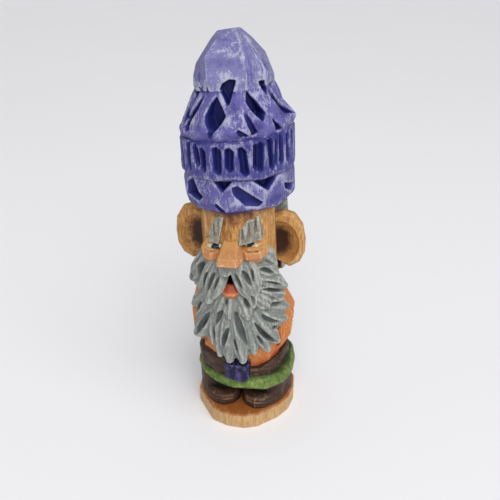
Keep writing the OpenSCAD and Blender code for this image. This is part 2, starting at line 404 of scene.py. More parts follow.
def sealed(field):
    """The outermost layer of the grid is made air, so that every surface closes."""
    for layer in (field[0], field[-1], field[:, 0], field[:, -1], field[:, :, 0], field[:, :, -1]):
        np.maximum(layer, 0.4, out=layer)
    return field


def touch(block, field, start, toward):
    """Where a straight line first meets the wood."""
    start, toward = np.array(start, float), np.array(toward, float)
    line = start + np.linspace(0, 1, 240)[:, None] * (toward - start)
    steps = (line - block.low) / block.grid
    held = ((steps >= 0) & (steps < np.array(field.shape) - 1)).all(1)
    line, steps = line[held], steps[held]
    return line[np.argmax(sample(field, steps) < 0)]


def on_front(block, field, places):
    """Points (x, height) laid on the front of a form."""
    return [touch(block, field, (x, -30, z), (x, 0, z)) for x, z in places]


def on_round(block, field, places):
    """Points (angle, height) laid on the outside of a round form."""
    return [touch(block, field, round_points([(a, 26, z)])[0], (0, 0, z)) for a, z in places]


def spots(points, rows):
    """Light and dark patches of paint, some of them painted highlights and shade:
    (angle, height, half width, half height, amount).
    """
    angle = angle_round(points[:, 0], points[:, 1])
    total = np.zeros(len(points))
    for a, z, wide, tall, amount in rows:
        total += amount * np.exp(-((angle - a) / wide) ** 2 - ((points[:, 2] - z) / tall) ** 2)
    return total


# How far the field is blurred to find edges and hollows, and by how much it then stands out at a
# full one
EDGE_BLUR, EDGE_FULL = 0.5, 0.16
PIT_BLUR, PIT_FULL = 1.1, 0.4
# How far from the surface the field is kept, and the deepest cut that the paint tells apart
FIELD_REACH = 2.5
DEEPEST = 4


def carve(node, material, block, field, place=WORLD, uncut=None, stain_and_shade=None, strands=None,
          tint=(), soft=0.55, mirror=False):
    """Turns a field into the mesh that stands for a CAD node. It also stores what the paint
    needs: how sharp an edge is, how deep a hollow is, how far the knife went below the uncut
    form, a colour laid by place, which is a real stain on some pieces and painted shade on others,
    and lighter and darker patches, some of which are painted highlights and shade."""
    field = np.clip(field, -FIELD_REACH, FIELD_REACH)
    grid_points, quads = surface(sealed(blurred(field, soft)))
    points = block.low + grid_points * block.grid
    none = np.zeros(len(points))
    edges = sample(blurred(field, EDGE_BLUR / block.grid), grid_points)
    hollows = -sample(blurred(field, PIT_BLUR / block.grid), grid_points)
    values = {
        "edge": np.clip(edges / EDGE_FULL, 0, 1.5),
        "pit": np.clip(hollows / PIT_FULL, 0, 1.5),
        "depth": none if uncut is None else np.clip(-sample(uncut, grid_points), 0, DEEPEST),
        "stain_and_shade": none if stain_and_shade is None else np.clip(stain_and_shade(*points.T), 0, 1),
        "tint": spots(points, tint),
    }
    if strands is not None:
        nearest = tuple(np.rint(grid_points).astype(int).T)
        values["across"] = strands.across[nearest]
        values["run"] = strands.run[nearest]
    if mirror:
        place = place @ Matrix.Scale(-1, 4, (1, 0, 0))
    mesh = bpy.data.meshes.new(node + "_carved")
    mesh.vertices.add(len(points))
    mesh.vertices.foreach_set("co", (moved(points, place) * MM).astype(np.float32).ravel())
    mesh.loops.add(quads.size)
    mesh.loops.foreach_set("vertex_index", quads.astype(np.int32).ravel())
    mesh.polygons.add(len(quads))
    mesh.polygons.foreach_set("loop_start", np.arange(0, quads.size, 4, dtype=np.int32))
    mesh.polygons.foreach_set("use_smooth", np.ones(len(quads), bool))
    mesh.update(calc_edges=True)
    for name, value in values.items():
        attribute = mesh.attributes.new(name, "FLOAT", "POINT")
        attribute.data.foreach_set("value", value.astype(np.float32))
    if mirror:
        mesh.flip_normals()
    mesh.materials.append(material)
    piece = bpy.data.objects.new(node + "_carved", mesh)
    bpy.context.collection.objects.link(piece)
    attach(piece, "root")
    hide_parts(node)


# ---- Paint ----

class Paint:
    """Builds a node material, with coordinates in millimetres."""

    def __init__(self, name):
        self.material = bpy.data.materials.new(name)
        self.material.use_nodes = True
        self.nodes = self.material.node_tree.nodes
        self.links = self.material.node_tree.links
        self.shader = self.nodes["Principled BSDF"]
        coordinates = self.nodes.new("ShaderNodeTexCoord")
        self.place = coordinates.outputs["Object"]

    def feed(self, socket, value):
        if isinstance(value, bpy.types.NodeSocket):
            self.links.new(value, socket)
        else:
            socket.default_value = value

    def attribute(self, name):
        node = self.nodes.new("ShaderNodeAttribute")
        node.attribute_name = name
        return node.outputs["Fac"]

    def noise(self, scale, detail, rough, stretch=(1, 1, 1), turn=(0, 0, 0), shift=0.0, place=None):
        """Noise from 0 to 1, with scale in cycles a millimetre."""
        unit = 1000 if place is None else 1
        mapping = self.nodes.new("ShaderNodeMapping")
        self.links.new(self.place if place is None else place, mapping.inputs["Vector"])
        mapping.inputs["Location"].default_value = (shift, shift, shift)
        mapping.inputs["Rotation"].default_value = [math.radians(a) for a in turn]
        mapping.inputs["Scale"].default_value = [unit * s for s in stretch]
        node = self.nodes.new("ShaderNodeTexNoise")
        node.inputs["Scale"].default_value = scale
        node.inputs["Detail"].default_value = detail
        node.inputs["Roughness"].default_value = rough
        self.links.new(mapping.outputs["Vector"], node.inputs["Vector"])
        return node.outputs["Fac"]

    def strands(self):
        """Coordinates across and along a lock of hair, in millimetres."""
        node = self.nodes.new("ShaderNodeCombineXYZ")
        self.links.new(self.attribute("across"), node.inputs["X"])
        self.links.new(self.attribute("run"), node.inputs["Y"])
        return node.outputs["Vector"]

    def math(self, operation, a, b, c=0.0):
        node = self.nodes.new("ShaderNodeMath")
        node.operation = operation
        for socket, value in zip(node.inputs, (a, b, c)):
            self.feed(socket, value)
        return node.outputs[0]

    def add(self, *terms):
        """The sum of (value, weight) pairs and plain numbers."""
        total = 0.0
        for term in terms:
            if isinstance(term, tuple):
                total = self.math("MULTIPLY_ADD", term[0], term[1], total)
            else:
                total = self.math("ADD", total, term)
        return total

    def ramp(self, value, low, high):
        """0 below low and 1 above high, smooth between them."""
        node = self.nodes.new("ShaderNodeMapRange")
        node.interpolation_type = "SMOOTHSTEP"
        self.feed(node.inputs["Value"], value)
        node.inputs["From Min"].default_value = low
        node.inputs["From Max"].default_value = high
        return node.outputs["Result"]

    def mix(self, factor, a, b, blend="MIX"):
        node = self.nodes.new("ShaderNodeMix")
        node.data_type = "RGBA"
        node.blend_type = blend
        self.feed(node.inputs["Factor"], factor)
        self.feed(node.inputs[6], a)
        self.feed(node.inputs[7], b)
        return node.outputs[2]

    def bump(self, height, distance):
        node = self.nodes.new("ShaderNodeBump")
        node.inputs["Strength"].default_value = 1.0
        node.inputs["Distance"].default_value = distance * MM
        self.links.new(height, node.inputs["Height"])
        return node.outputs["Normal"]


def rgb(colour):
    """A colour given as a paint chart gives it, 0 to 255, made linear."""
    def linear(value):
        value = value / 255
        return value / 12.92 if value <= 0.04045 else ((value + 0.055) / 1.055) ** 2.4
    return (*map(linear, colour), 1)


def painted(name, base, second, dark, light, dry=0.35, dry_bias=-0.2, dry_soft=0.6, chalky=0.8,
            wash_and_shade=0.8, wash_and_shade_bias=-0.25, stain_and_shade=None, fibres=0.0, fibre_colour=None, strands=0.0,
            cut_colour=None, deep_colour=None, cut_depth=1.0, rough=(0.5, 0.68), sheen=0.3, bump=0.09,
            mottle=0.7):
    """Thin acrylic on carved wood: two mottled tones, a dark wash in the hollows, which also paints
    the shade that gathers there, and light dry-brushing on the edges. Where the knife went deep,
    cut_colour and then deep_colour. The colour laid by place is a real stain on some pieces and
    painted shade on others."""
    p = Paint(name)
    edge, pit = p.attribute("edge"), p.attribute("pit")
    patch = p.noise(0.07, 2, 0.5, shift=53)
    cloudy = p.noise(0.4, 4, 0.65, shift=31)
    pools = p.noise(0.5, 3, 0.6, shift=71)
    streaks = p.noise(1.0, 4, 0.65, stretch=(1.2, 1.2, 0.28), turn=(0, 12, 0), shift=7)
    speck = p.noise(2.6, 3, 0.7, shift=13)
    if strands:
        fibre = p.noise(1.0, 3, 0.6, stretch=(2.3, 0.1, 1), place=p.strands())
    else:
        fibre = p.noise(1.0, 3, 0.55, stretch=(2.6, 2.6, 0.12), shift=3)
    tone = p.ramp(p.add((cloudy, 1.0), (streaks, 0.5), (patch, 0.4)), 0.8, 1.1)
    colour = p.mix(tone, rgb(base), rgb(second))
    if fibre_colour is not None:
        lines = p.ramp(p.add((fibre, 1.0), (speck, 0.2)), 0.58, 0.72)
        colour = p.mix(p.math("MULTIPLY", lines, fibres), colour, rgb(fibre_colour))
    tint = p.attribute("tint")
    dryness = p.add((edge, dry), (patch, 0.7), (cloudy, 0.9), (streaks, 2.0), (speck, 1.1), (tint, 1.0),
                    (fibre, strands), dry_bias - 2.35 - strands / 2)
    chalk = p.math("MULTIPLY", p.ramp(dryness, -0.1, dry_soft), chalky)
    colour = p.mix(chalk, colour, rgb(light))
    # The dark wash gathers in the hollows, where it also stands for painted shade.
    washed_and_shaded = p.add((pit, wash_and_shade), (pools, 1.2), (streaks, 0.7), (speck, 0.5), (fibre, -strands), (tint, -1.0),
                   strands / 2 + wash_and_shade_bias - 1.2)
    colour = p.mix(p.ramp(washed_and_shaded, 0.0, 0.75), colour, rgb(dark))
    if cut_colour is not None:
        depth = p.add((p.attribute("depth"), 1 / cut_depth), (pools, 1.0), (speck, 0.6), -0.8)
        colour = p.mix(p.ramp(depth, 0.2, 0.9), colour, rgb(cut_colour))
        colour = p.mix(p.ramp(depth, 0.9, 2.0), colour, rgb(deep_colour))
    # Colour laid by place: a real stain, iris or stripes on some pieces, and painted shade on the boots,
    # trousers, shirt, head, ears and the stand round the boots.
    if stain_and_shade is not None:
        spread = p.add((p.attribute("stain_and_shade"), 1.0), (pools, 0.8), (speck, 0.3), -0.55)
        spread = p.math("MULTIPLY", spread, p.ramp(p.attribute("stain_and_shade"), 0.0, 0.12))
        colour = p.mix(p.ramp(spread, 0.05, 0.95), colour, rgb(stain_and_shade))
    shade = p.add((speck, mottle), (cloudy, mottle * 0.5), 1 - mottle * 0.75)
    colour = p.mix(1.0, colour, shade, "MULTIPLY")
    p.links.new(colour, p.shader.inputs["Base Color"])
    shine = p.nodes.new("ShaderNodeMapRange")
    p.links.new(cloudy, shine.inputs["Value"])
    shine.inputs["From Min"].default_value = 0.3
    shine.inputs["From Max"].default_value = 0.7
    shine.inputs["To Min"].default_value = rough[0]
    shine.inputs["To Max"].default_value = rough[1]
    p.links.new(shine.outputs["Result"], p.shader.inputs["Roughness"])
    p.shader.inputs["Specular IOR Level"].default_value = sheen
    relief = p.add((fibre, 0.5 + strands), (streaks, 0.5), (speck, 0.35))
    p.links.new(p.bump(relief, bump), p.shader.inputs["Normal"])
    return p.material


NAVY = (12, 18, 84)
VIOLET = painted("violet_paint", (96, 90, 150), (70, 66, 132), (36, 34, 94), (180, 180, 202),
    dry=0.5, dry_bias=-0.06, wash_and_shade=0.7, wash_and_shade_bias=-0.06, cut_colour=(48, 50, 126), deep_colour=NAVY,
    cut_depth=1.1, chalky=0.75)
CROWN_VIOLET = painted("crown_paint", (98, 92, 156), (74, 70, 138), (36, 34, 94), (180, 180, 202),
    dry=0.45, dry_bias=-0.06, wash_and_shade=0.8, wash_and_shade_bias=-0.04, cut_colour=(36, 42, 112), deep_colour=NAVY,
    cut_depth=1.1, chalky=0.75)
CUFF_VIOLET = painted("cuff_paint", (70, 66, 134), (50, 48, 116), (32, 34, 98), (164, 164, 194),
    dry=0.4, dry_bias=-0.12, wash_and_shade=0.5, wash_and_shade_bias=-0.08, cut_colour=(36, 40, 112), deep_colour=NAVY,
    cut_depth=0.8, chalky=0.7)
TIP_VIOLET = painted("tip_paint", (124, 120, 172), (98, 96, 148), (62, 60, 116), (184, 188, 202),
    dry=0.5, dry_bias=-0.04, wash_and_shade=0.7, wash_and_shade_bias=-0.02, mottle=0.8, cut_colour=(44, 46, 110),
    deep_colour=NAVY, cut_depth=0.8, chalky=0.75)
# Its colour laid by place is the painted shade in the ears' hollows.
SKIN = painted("skin_wood", (202, 156, 94), (174, 118, 62), (96, 58, 32), (226, 190, 134), dry=0.35,
    dry_bias=-0.15, wash_and_shade=0.5, wash_and_shade_bias=-0.25, fibres=0.8, fibre_colour=(148, 98, 50),
    stain_and_shade=(58, 34, 22), rough=(0.42, 0.6))
# Its colour laid by place is the painted shadow under the hat and the painted shade beside the ears.
HEAD_SKIN = painted("head_wood", (206, 158, 94), (172, 116, 58), (92, 52, 26), (228, 192, 134),
    dry=0.35, dry_bias=-0.1, wash_and_shade=0.6, wash_and_shade_bias=-0.2, fibres=0.9, fibre_colour=(146, 92, 44),
    stain_and_shade=(86, 50, 40), rough=(0.42, 0.6), cut_colour=(120, 70, 36), deep_colour=(16, 9, 7),
    cut_depth=1.5)
BLUSH = painted("blush_paint", (196, 142, 92), (178, 112, 68), (108, 58, 34), (228, 182, 140),
    dry=0.3, dry_bias=-0.1, wash_and_shade=0.9, wash_and_shade_bias=-0.25, fibres=0.25, fibre_colour=(168, 98, 58),
    stain_and_shade=(190, 142, 84), rough=(0.4, 0.58), mottle=0.6)
LIP = painted("lip_paint", (200, 128, 80), (176, 98, 56), (96, 36, 22), (228, 160, 112), dry=0.3,
    wash_and_shade=0.6, rough=(0.4, 0.55), stain_and_shade=(160, 60, 30), mottle=0.5)
HAIR = painted("hair_paint", (136, 139, 133), (114, 118, 114), (52, 58, 60), (190, 192, 184),
    dry=0.5, dry_bias=-0.02, dry_soft=0.7, wash_and_shade=0.9, wash_and_shade_bias=-0.2, fibres=0.5,
    fibre_colour=(80, 86, 86), cut_colour=(94, 98, 96), deep_colour=(42, 46, 50), cut_depth=1.3,
    rough=(0.5, 0.7), bump=0.16, strands=1.0)
BROW = painted("brow_paint", (140, 136, 124), (116, 110, 98), (58, 50, 42), (184, 182, 170),
    dry=0.35, dry_bias=-0.08, wash_and_shade=0.6, wash_and_shade_bias=-0.25, fibres=0.5, fibre_colour=(100, 92, 80),
    cut_colour=(104, 98, 86), deep_colour=(70, 62, 54), cut_depth=0.4, rough=(0.5, 0.7))
# Its colour laid by place is the painted shade above the belt.
SHIRT = painted("shirt_paint", (200, 130, 70), (182, 100, 46), (112, 52, 26), (222, 166, 108),
    dry=0.4, dry_bias=-0.05, wash_and_shade=0.8, wash_and_shade_bias=-0.22, fibres=0.5, fibre_colour=(168, 84, 38),
    stain_and_shade=(156, 60, 26), rough=(0.45, 0.62))
# Its colour laid by place is the painted shade on the boots: above the toe caps, between them and at their
# foot.
LEATHER = painted("leather_paint", (70, 46, 32), (48, 34, 26), (22, 16, 14), (146, 106, 74),
    dry=0.6, dry_bias=-0.38, wash_and_shade=0.9, wash_and_shade_bias=0.0, stain_and_shade=(24, 17, 14), rough=(0.36, 0.56),
    sheen=0.25, chalky=0.7)
# Its colour laid by place is the painted shade under the belt, and a darker band along the hem.
TROUSER = painted("trouser_paint", (78, 104, 40), (100, 122, 52), (34, 44, 24), (150, 162, 96),
    dry=0.35, dry_bias=-0.1, wash_and_shade=0.7, wash_and_shade_bias=-0.1, stain_and_shade=(46, 54, 30), rough=(0.45, 0.62))
BUCKLE = painted("buckle_paint", (12, 16, 46), (22, 22, 58), (6, 6, 18), (96, 90, 140), dry=0.4,
    dry_bias=-0.15, wash_and_shade=0.8, wash_and_shade_bias=-0.15, stain_and_shade=(82, 68, 126), rough=(0.35, 0.5), sheen=0.25,
    mottle=0.8)
# Its colour laid by place is the stand's stained top, deepened towards the boots as painted shade.
WOOD = painted("bare_wood", (204, 168, 120), (184, 144, 94), (120, 78, 42), (218, 194, 156),
    dry=0.25, dry_bias=-0.15, wash_and_shade=0.4, wash_and_shade_bias=-0.3, fibres=0.7, fibre_colour=(160, 120, 76),
    stain_and_shade=(152, 88, 38), rough=(0.48, 0.64), mottle=0.6)
EYE = painted("eye_paint", (206, 200, 184), (190, 180, 160), (70, 70, 66), (240, 240, 235), dry=0.0,
    wash_and_shade=0.3, stain_and_shade=(8, 44, 52), rough=(0.2, 0.3), mottle=0.1)


# ---- Stand, boots, trousers, belt and buckle ----

def make_stand():
    points = cad_points("stand")
    block = block_for(points, COARSE)
    corners = np.unique(points[np.abs(points[:, 2] - STAND_Z) < 0.01][:, :2].round(3), axis=0)
    corners = corners[np.argsort(np.arctan2(corners[:, 1], corners[:, 0]))]
    rng = np.random.default_rng(5)
    field = knife(block, points, UP_DOWN)
    for a, b in zip(corners, np.roll(corners, -1, axis=0)):
        out = outward(a, b)
        side = (*out, rng.uniform(-0.02, 0.05))
        np.maximum(field, plane(block, side, (*a, STAND_Z / 2)), out=field)
        worn = (*out, rng.uniform(0.8, 1.2))
        np.maximum(field, plane(block, worn, (*a, STAND_Z - rng.uniform(0.3, 0.8))), out=field)

    # The top is stained, and deeper towards the middle: that deepening is painted shade round the boots.
    def stain_and_shade(x, y, z):
        spread = 1 - blend(np.hypot(x, y + 1), 14.5, 20.5)
        streaks = 0.14 * np.sin(1.3 * x + 0.4 * y) + 0.1 * np.sin(3.1 * x - 0.7 * y)
        return (0.52 + 0.5 * spread + 0.8 * streaks) * blend(z, STAND_Z - 1.4, STAND_Z - 0.2)
    tint = [(90 * k, STAND_Z, 30, 0.6, -0.25) for k in range(-1, 3)]
    carve("stand", WOOD, block, field, stain_and_shade=stain_and_shade, tint=tint)


# The outline of a boot's foot, from between the toes round the outside to the heel
FOOT = [(0.5, -9.8), (2.6, -13), (6.4, -14.8), (10.4, -13.5), (13.8, -10.3), (16.8, -5.6), (18.4, 1),
        (18.2, 8), (15.6, 13), (10, 15), (4, 14.6), (0.6, 12.4)]


def make_boot(side):
    top = TROUSER_Z + trouser_hem(90 * side) + 0.4
    z = STAND_Z
    shaft = loft_points([(z, 8.7, 11.6), (z + 5, 8.7, 11.8), (top, 8.6, 12)], 3) + np.array([9.2, 2.2, 0])
    cap = [(9 + (x - 9) * (1 - step / 9), y * (1 - step / 14), z + rise)
           for rise, step in ((0, 0), (3.2, -0.2), (4.4, 0.5), (5.3, 2.2)) for x, y in FOOT]
    block = Block((-0.5, -17, z - 0.3), (20.5, 15.8, top + 0.6), MEDIUM)
    seed = 11 if side > 0 else 12
    cap_cuts = whittled(block, np.array(cap), [(0, 12), (24, 8), (50, 5)], seed, 0.25, 0.1, False)
    cap_field = np.maximum(hull(block, cap), cap_cuts)
    field = join(cap_field, whittled(block, shaft, [(0, 13), (16, 9)], seed + 20, 0.4, 0.05))
    uncut = field.copy()
    # Strokes of the knife round the toe cap
    for k, rise in enumerate((2.2, 3.4, 4.5)):
        path = [(x, y - 0.02 + 0.25 * k, z + rise + 0.15 * (-1) ** i)
                for i, (x, y) in enumerate(FOOT[k // 2:7])]
        field = veiner(block, field, path, 0.24)
    field = veiner(block, field, raised([(0.8, -9.4, 6), (6.4, -11.2, 6.2), (11.6, -10.2, 6.4)], z), 0.55)
    for normal, offset in (((-1, 0, 0), -0.4), ((0, 0, -1), -z), ((0, 0, 1), top)):
        np.maximum(field, slab(block, normal, offset), out=field)

    # Painted shade: above the toe caps under the trousers, between the boots and at their foot.
    def stain_and_shade(x, y, height):
        shade_above_cap = 0.3 * blend(height, z + 4.6, z + 6.4) * (1 - blend(y, -7, -2))
        shade_between = 0.7 * (1 - blend(x, 0.6, 2.6)) * (y < -4)
        shade_at_foot = 0.5 * (1 - blend(height, z, z + 1.2))
        return shade_above_cap + shade_between + shade_at_foot
    # Lighter patches along the toe caps: painted highlights together with worn dry-brushing.
    tint = above(z, [(18, 3.4, 12, 1.2, 0.4), (38, 4.6, 10, 1.0, 0.3), (64, 8, 10, 3, 0.2)])
    carve(sided("boot", side), LEATHER, block, field, TORSO, uncut, stain_and_shade,
          tint=tint, mirror=side < 0)


def trouser_hem(angle):
    """How far the lower edge of the trousers climbs, at an angle round the figure."""
    return np.interp(angle, (-180, -100, -60, -45, -18, 5, 31, 60, 100, 180),
                     (1.6, 3.4, 4.0, 3.8, 2.8, 1.7, 1.1, 0.4, 0.2, 1.6))


def make_trousers():
    points = cad_points("trousers")
    block = block_for(points, COARSE)
    field = whittled(block, points, [(-58, 9), (-30, 12), (2, 15), (34, 12), (62, 9)], 21, 0.35, 0.07)
    hem = TROUSER_Z + trouser_hem(block.angle) - block.z
    field = np.maximum(field, np.maximum(hem, (hem + block.radius - 18.6) * 0.7)).astype(np.float32)

    # Painted shade just under the belt, and a darker band along the hem.
    def stain_and_shade(x, y, z):
        rise = z - TROUSER_Z - trouser_hem(angle_round(x, y))
        return 0.8 * blend(z, BELT_Z - 1.6, BELT_Z) + 0.75 * (1 - blend(rise, 0, 1.5))
    carve("trousers", TROUSER, block, field, stain_and_shade=stain_and_shade)


def make_belt():
    """The belt's top edge climbs at the figure's right."""
    block = Block((-19, -18, BELT_Z - 0.8), (19, 18, BELT_Z + 9.4), COARSE)
    strap = loft_points([(BELT_Z, 17.2, 16.6), (BELT_Z + 8.4, 17.0, 16.4)], 2.4)
    field = whittled(block, strap, [(0, 13)], 31, 0.5, 0.03)
    top = np.interp(block.angle, (-180, -120, -62, -38, -22, -8, 4, 14, 32, 50, 76, 110, 180),
                    (5.2, 6.4, 8.2, 8.2, 7.2, 6.6, 5, 3.4, 2.8, 4.8, 5.4, 5, 5.2))
    low = np.interp(block.angle, (-180, -90, -40, 0, 60, 180), (-0.4, -1.2, -0.4, 0.6, 0, -0.4))
    edge = block.z - BELT_Z - top
    field = np.maximum(field, edge)
    field = np.maximum(field, (block.radius - 17.2 + edge) * 0.7 + 0.35)
    field = np.maximum(field, BELT_Z - low - block.z).astype(np.float32)
    for angle, rise in ((28, 1.2), (46, 2.6), (62, 2.0), (-50, 4.4), (-30, 3.2), (150, 2.4), (210, 2.2)):
        places = [(angle - 9, BELT_Z + rise), (angle, BELT_Z + rise + 0.4), (angle + 9, BELT_Z + rise + 0.6)]
        field = veiner(block, field, on_round(block, field, places), 0.26)
    carve("belt", LEATHER, block, field, TORSO)


def make_buckle():
    low, high = cad_box_mm("buckle")
    x0, x1, y0, z0, z1 = low[0], high[0], low[1], low[2] - 0.6, high[2] - 1.6
    points = [(x0 + 0.2, y0 + 0.9, z0 + 1.4), (x1 - 1.6, y0 + 0.2, z0), (x1 - 0.2, y0 + 0.8, z0 + 1.6),
              (x1 - 0.5, y0 + 1, z1 - 0.6), (x0 + 1.8, y0 + 0.6, z1), (x0 + 0.2, y0 + 1.4, z1 - 0.8),
              (x0 + 1.6, y0, z0 + 1.4), (x1 - 1.8, y0, z0 + 1.2), (x1 - 1.4, y0 + 0.1, z1 - 1.6),
              (x0 + 1.8, y0 + 0.1, z1 - 1.2)]
    points += [(x0, high[1], z0 + 1), (x1, high[1], z0 + 1), (x0, high[1], z1), (x1, high[1], z1)]
    block = block_for(np.array(points), FINE)
    middle = (x0 + x1) / 2

    def stain_and_shade(x, y, z):
        violet = np.exp(-((x - middle - 1) / 1.3) ** 2) + 0.8 * np.exp(-((x - middle + 2.8) / 0.8) ** 2)
        return 0.6 * violet * blend(z, z1 - 1.4, z1 - 3.4)
    carve("buckle", BUCKLE, block, hull(block, points), stain_and_shade=stain_and_shade)


# ---- Shirt, sleeves and hands ----

def make_shirt():
    z = BELT_Z
    hem = loft_points([(z, 14.4, 13.8), (z + 5, 15.3, 14.6), (z + 10, 15.4, 14.8)])
    upper = loft_points([(z + 7, 15, 14.6), (z + 18, 15.8, 15), (NECK_Z - 7, 16, 15.2),
                         (NECK_Z - 3, 14.5, 14.5), (NECK_Z, 11, 12)])
    block = block_for(np.concatenate([hem, upper]), COARSE)
    hem_field = whittled(block, hem, [(-8, 14), (30, 12)], 51, 0.3, 0.05)
    upper_field = whittled(block, upper, [(-20, 8), (0, 15), (28, 10), (55, 8)], 52, 0.4, 0.06)
    field = join(hem_field, upper_field)
    rng = np.random.default_rng(53)
    for k in range(9):
        angle = 62 + 27 * k
        top = z + rng.uniform(11, 22)
        ends = round_points([(angle, 16.4, top), (angle + rng.uniform(-9, 9), 16.2, top - rng.uniform(4, 8))])
        field = veiner(block, field, ends, 0.5)

    # Painted shade just above the belt, deeper and higher at the figure's left.
    def stain_and_shade(x, y, height):
        shade_at_belt = 0.5 * (1 - blend(height, z + 4, z + 7.5))
        return shade_at_belt + 0.6 * blend(angle_round(x, y), 40, 60) * (1 - blend(height, z + 6, z + 11))
    carve("shirt", SHIRT, block, field, TORSO, stain_and_shade=stain_and_shade)


def make_sleeve(side):
    """The upper arm hangs to the elbow, and the forearm folds behind the back."""
    block = Block((8, -7, BELT_Z + 6), (21, 19, NECK_Z - 2), MEDIUM)
    elbow_z = BELT_Z + 10.9
    outer, back = (17.4, 4.6) if side > 0 else (18.9, 7.6)
    arm = np.concatenate([ellipsoid_points((outer - 4.6, 0.5, NECK_Z - 7.4), (4.0, 6.6, 5.4)),
                          box_points((11, -5.4, elbow_z - 5), (outer, back, elbow_z + 13))])
    arm_field = whittled(block, arm, [(20, 8), (50, 8), (0, 6)], 61 + side, 0.3, 0.06)
    fore = np.concatenate([ellipsoid_points((14.2, 3, BELT_Z + 13.4), (4.2, 5.2, 4)),
                           ellipsoid_points((7, 14.2, BELT_Z + 13), (3.4, 3.8, 3.8))])
    fore_field = whittled(block, fore, [(0, 10), (35, 8), (-35, 8)], 65 + side, 0.2, 0.08)
    field = np.maximum(join(arm_field, fore_field), plane(block, (0.77, 0, -0.64), (outer, 0, elbow_z)))
    # Creases at the bend of the arm
    for z, dy in ((BELT_Z + 17.5, 0), (BELT_Z + 21, 1.2)):
        path = [touch(block, arm_field, (21, y + dy, z + rise), (9, y + dy, z + rise))
                for y, rise in ((-3.6, 1.4), (0.5, 0), (3.4, -0.6))]
        field = veiner(block, field, path, 0.45)
    carve(sided("sleeve", side), SHIRT, block, field, TORSO, mirror=side < 0)


def make_hands():
    """One hand holds the other behind the back."""
    block = Block((-9, 12, BELT_Z + 7), (9, 21, BELT_Z + 20), FINE)
    z = BELT_Z + 13
    field = block.empty()
    backs = [((-4.4, 15.6, z - 0.2), (3.8, 2.6, 3.9)), ((3.6, 15.8, z + 0.2), (4.0, 2.8, 3.8))]
    for k, back in enumerate(backs):
        shape = whittled(block, ellipsoid_points(*back), [(0, 10), (35, 8), (-35, 8)], 71 + k, 0.2, 0.08)
        field = melt(field, shape, 0.4)
    # Fingers across the back of the lower hand, and a thumb over them
    for i, reach in enumerate((3.4, 4.4, 4.6, 3.8)):
        height = z - 2.9 + 1.75 * i
        finger = rod(block, (3.6, 18.0, height + 0.3), (-reach, 18.1, height - 0.3), 1.1, 0.85)
        knuckle = [(-reach + 2.4, 19.1, height - 1), (-reach + 2.4, 19.3, height + 0.9)]
        field = veiner(block, join(field, finger), knuckle, 0.22)
    field = melt(field, rod(block, (4.4, 17.6, z + 3.2), (-0.6, 18, z + 4.3), 1.3, 1.0), 0.3)
    carve("hands", SKIN, block, field, TORSO)


# ---- Head and face ----

def make_head():
    block = Block((-14.6, -19.5, NECK_Z - 3), (14.6, 16.6, HAT_Z + 6), MEDIUM)
    column = loft_points([(NECK_Z - 2, 11, 13), (NECK_Z + 8, 12.8, 14.8), (EYE_Z, 12.6, 15.2),
                          (HAT_Z, 12.2, 15.2), (HAT_Z + 5, 10.6, 13)], 3.2)
    field = whittled(block, column, [(0, 8), (-14, 8), (10, 8)], 81, 0.15, 0.03)
    front = FACE_Y - 1.8
    low, high = EYE_Z + 0.6, HAT_Z + 2
    forehead = [(-6.4, front + 0.6, low + 1), (-1.5, front, low - 1.5), (3, front, low - 1.5),
                (8, front + 0.6, low + 1), (-6.4, front + 0.6, high), (0.5, front - 0.3, high),
                (8.2, front + 0.6, high), (-7.8, FACE_Y + 1.5, low + 2.5), (9.6, FACE_Y + 1.5, low + 2.5),
                (-7.8, FACE_Y + 1.5, high), (9.4, FACE_Y + 1.5, high), (-6, -10, low + 1),
                (8, -10, low + 1), (-6, -10, high), (8, -10, high)]
    field = melt(field, hull(block, forehead), 0.6)
    field = melt(field, ellipsoid(block, (0.1, FACE_Y - 1.4, EYE_Z + 4.8), (2.2, 1.7, 5.2)), 0.5)
    # Behind, the column is rounded off to lie under the hair
    np.maximum(field, block.radius - 15.7 - 20 * (block.y < 2), out=field)
    # The side behind the ear at the figure's left was cut further in
    np.maximum(field, plane(block, (1, 0.15, 0), (13.2, -8, NECK_Z)), out=field)
    uncut = field.copy()
    # Sockets under the brows, and the mouth
    for centre, radii in (((7.0, FACE_Y - 1.6, EYE_Z + 0.2), (3.6, 2.2, 1.3)),
                          ((-5.8, FACE_Y - 1.6, EYE_Z - 0.6), (3.4, 2.2, 1.2)),
                          ((-0.9, FACE_Y + 0.4, LIP_Z + 2.2), (3.6, 6.4, 4.8))):
        field = cut(field, ellipsoid(block, centre, radii))

    # Painted shadow under the hat's brim, and painted shade on the head's sides beside the ears.
    def stain_and_shade(x, y, z):
        uneven = 0.7 * np.sin(1.1 * x + 0.6) + 0.5 * np.sin(2.7 * x)
        shadow_under_hat = 1.1 * blend(z + uneven, HAT_Z - 5, HAT_Z + 1) * np.exp(-((x - 2) / 11) ** 2)
        shade_by_ears = 0.3 * blend(np.abs(x), 10.4, 12.4) * blend(y, -6.5, -2)
        return shadow_under_hat + shade_by_ears
    tint = above(EYE_Z, [(0, 5, 7, 3.6, -0.45), (0, 9, 16, 2.4, -0.3), (0, 1, 8, 1.6, 0.15),
                         (34, 4, 6, 8, 0.2), (-42, 3, 8, 8, 0.15)])
    carve("head", HEAD_SKIN, block, field, HEAD, uncut, stain_and_shade, tint=tint)


def outline_field(block, outline, lean, y_face):
    """A convex outline seen from the front, given anticlockwise. Its sides lean in by lean for
    each millimetre towards the viewer of y_face, or away from it when lean is negative."""
    past = np.clip((y_face - block.y) * np.sign(lean), 0, 20) * abs(lean)
    sides = []
    for a, b in zip(outline, outline[1:] + outline[:1]):
        out = outward(a, b)
        sides.append(block.x * out[0] + block.z * out[1] - (a[0] * out[0] + a[1] * out[1]) + past)
    return np.maximum.reduce(sides).astype(np.float32)


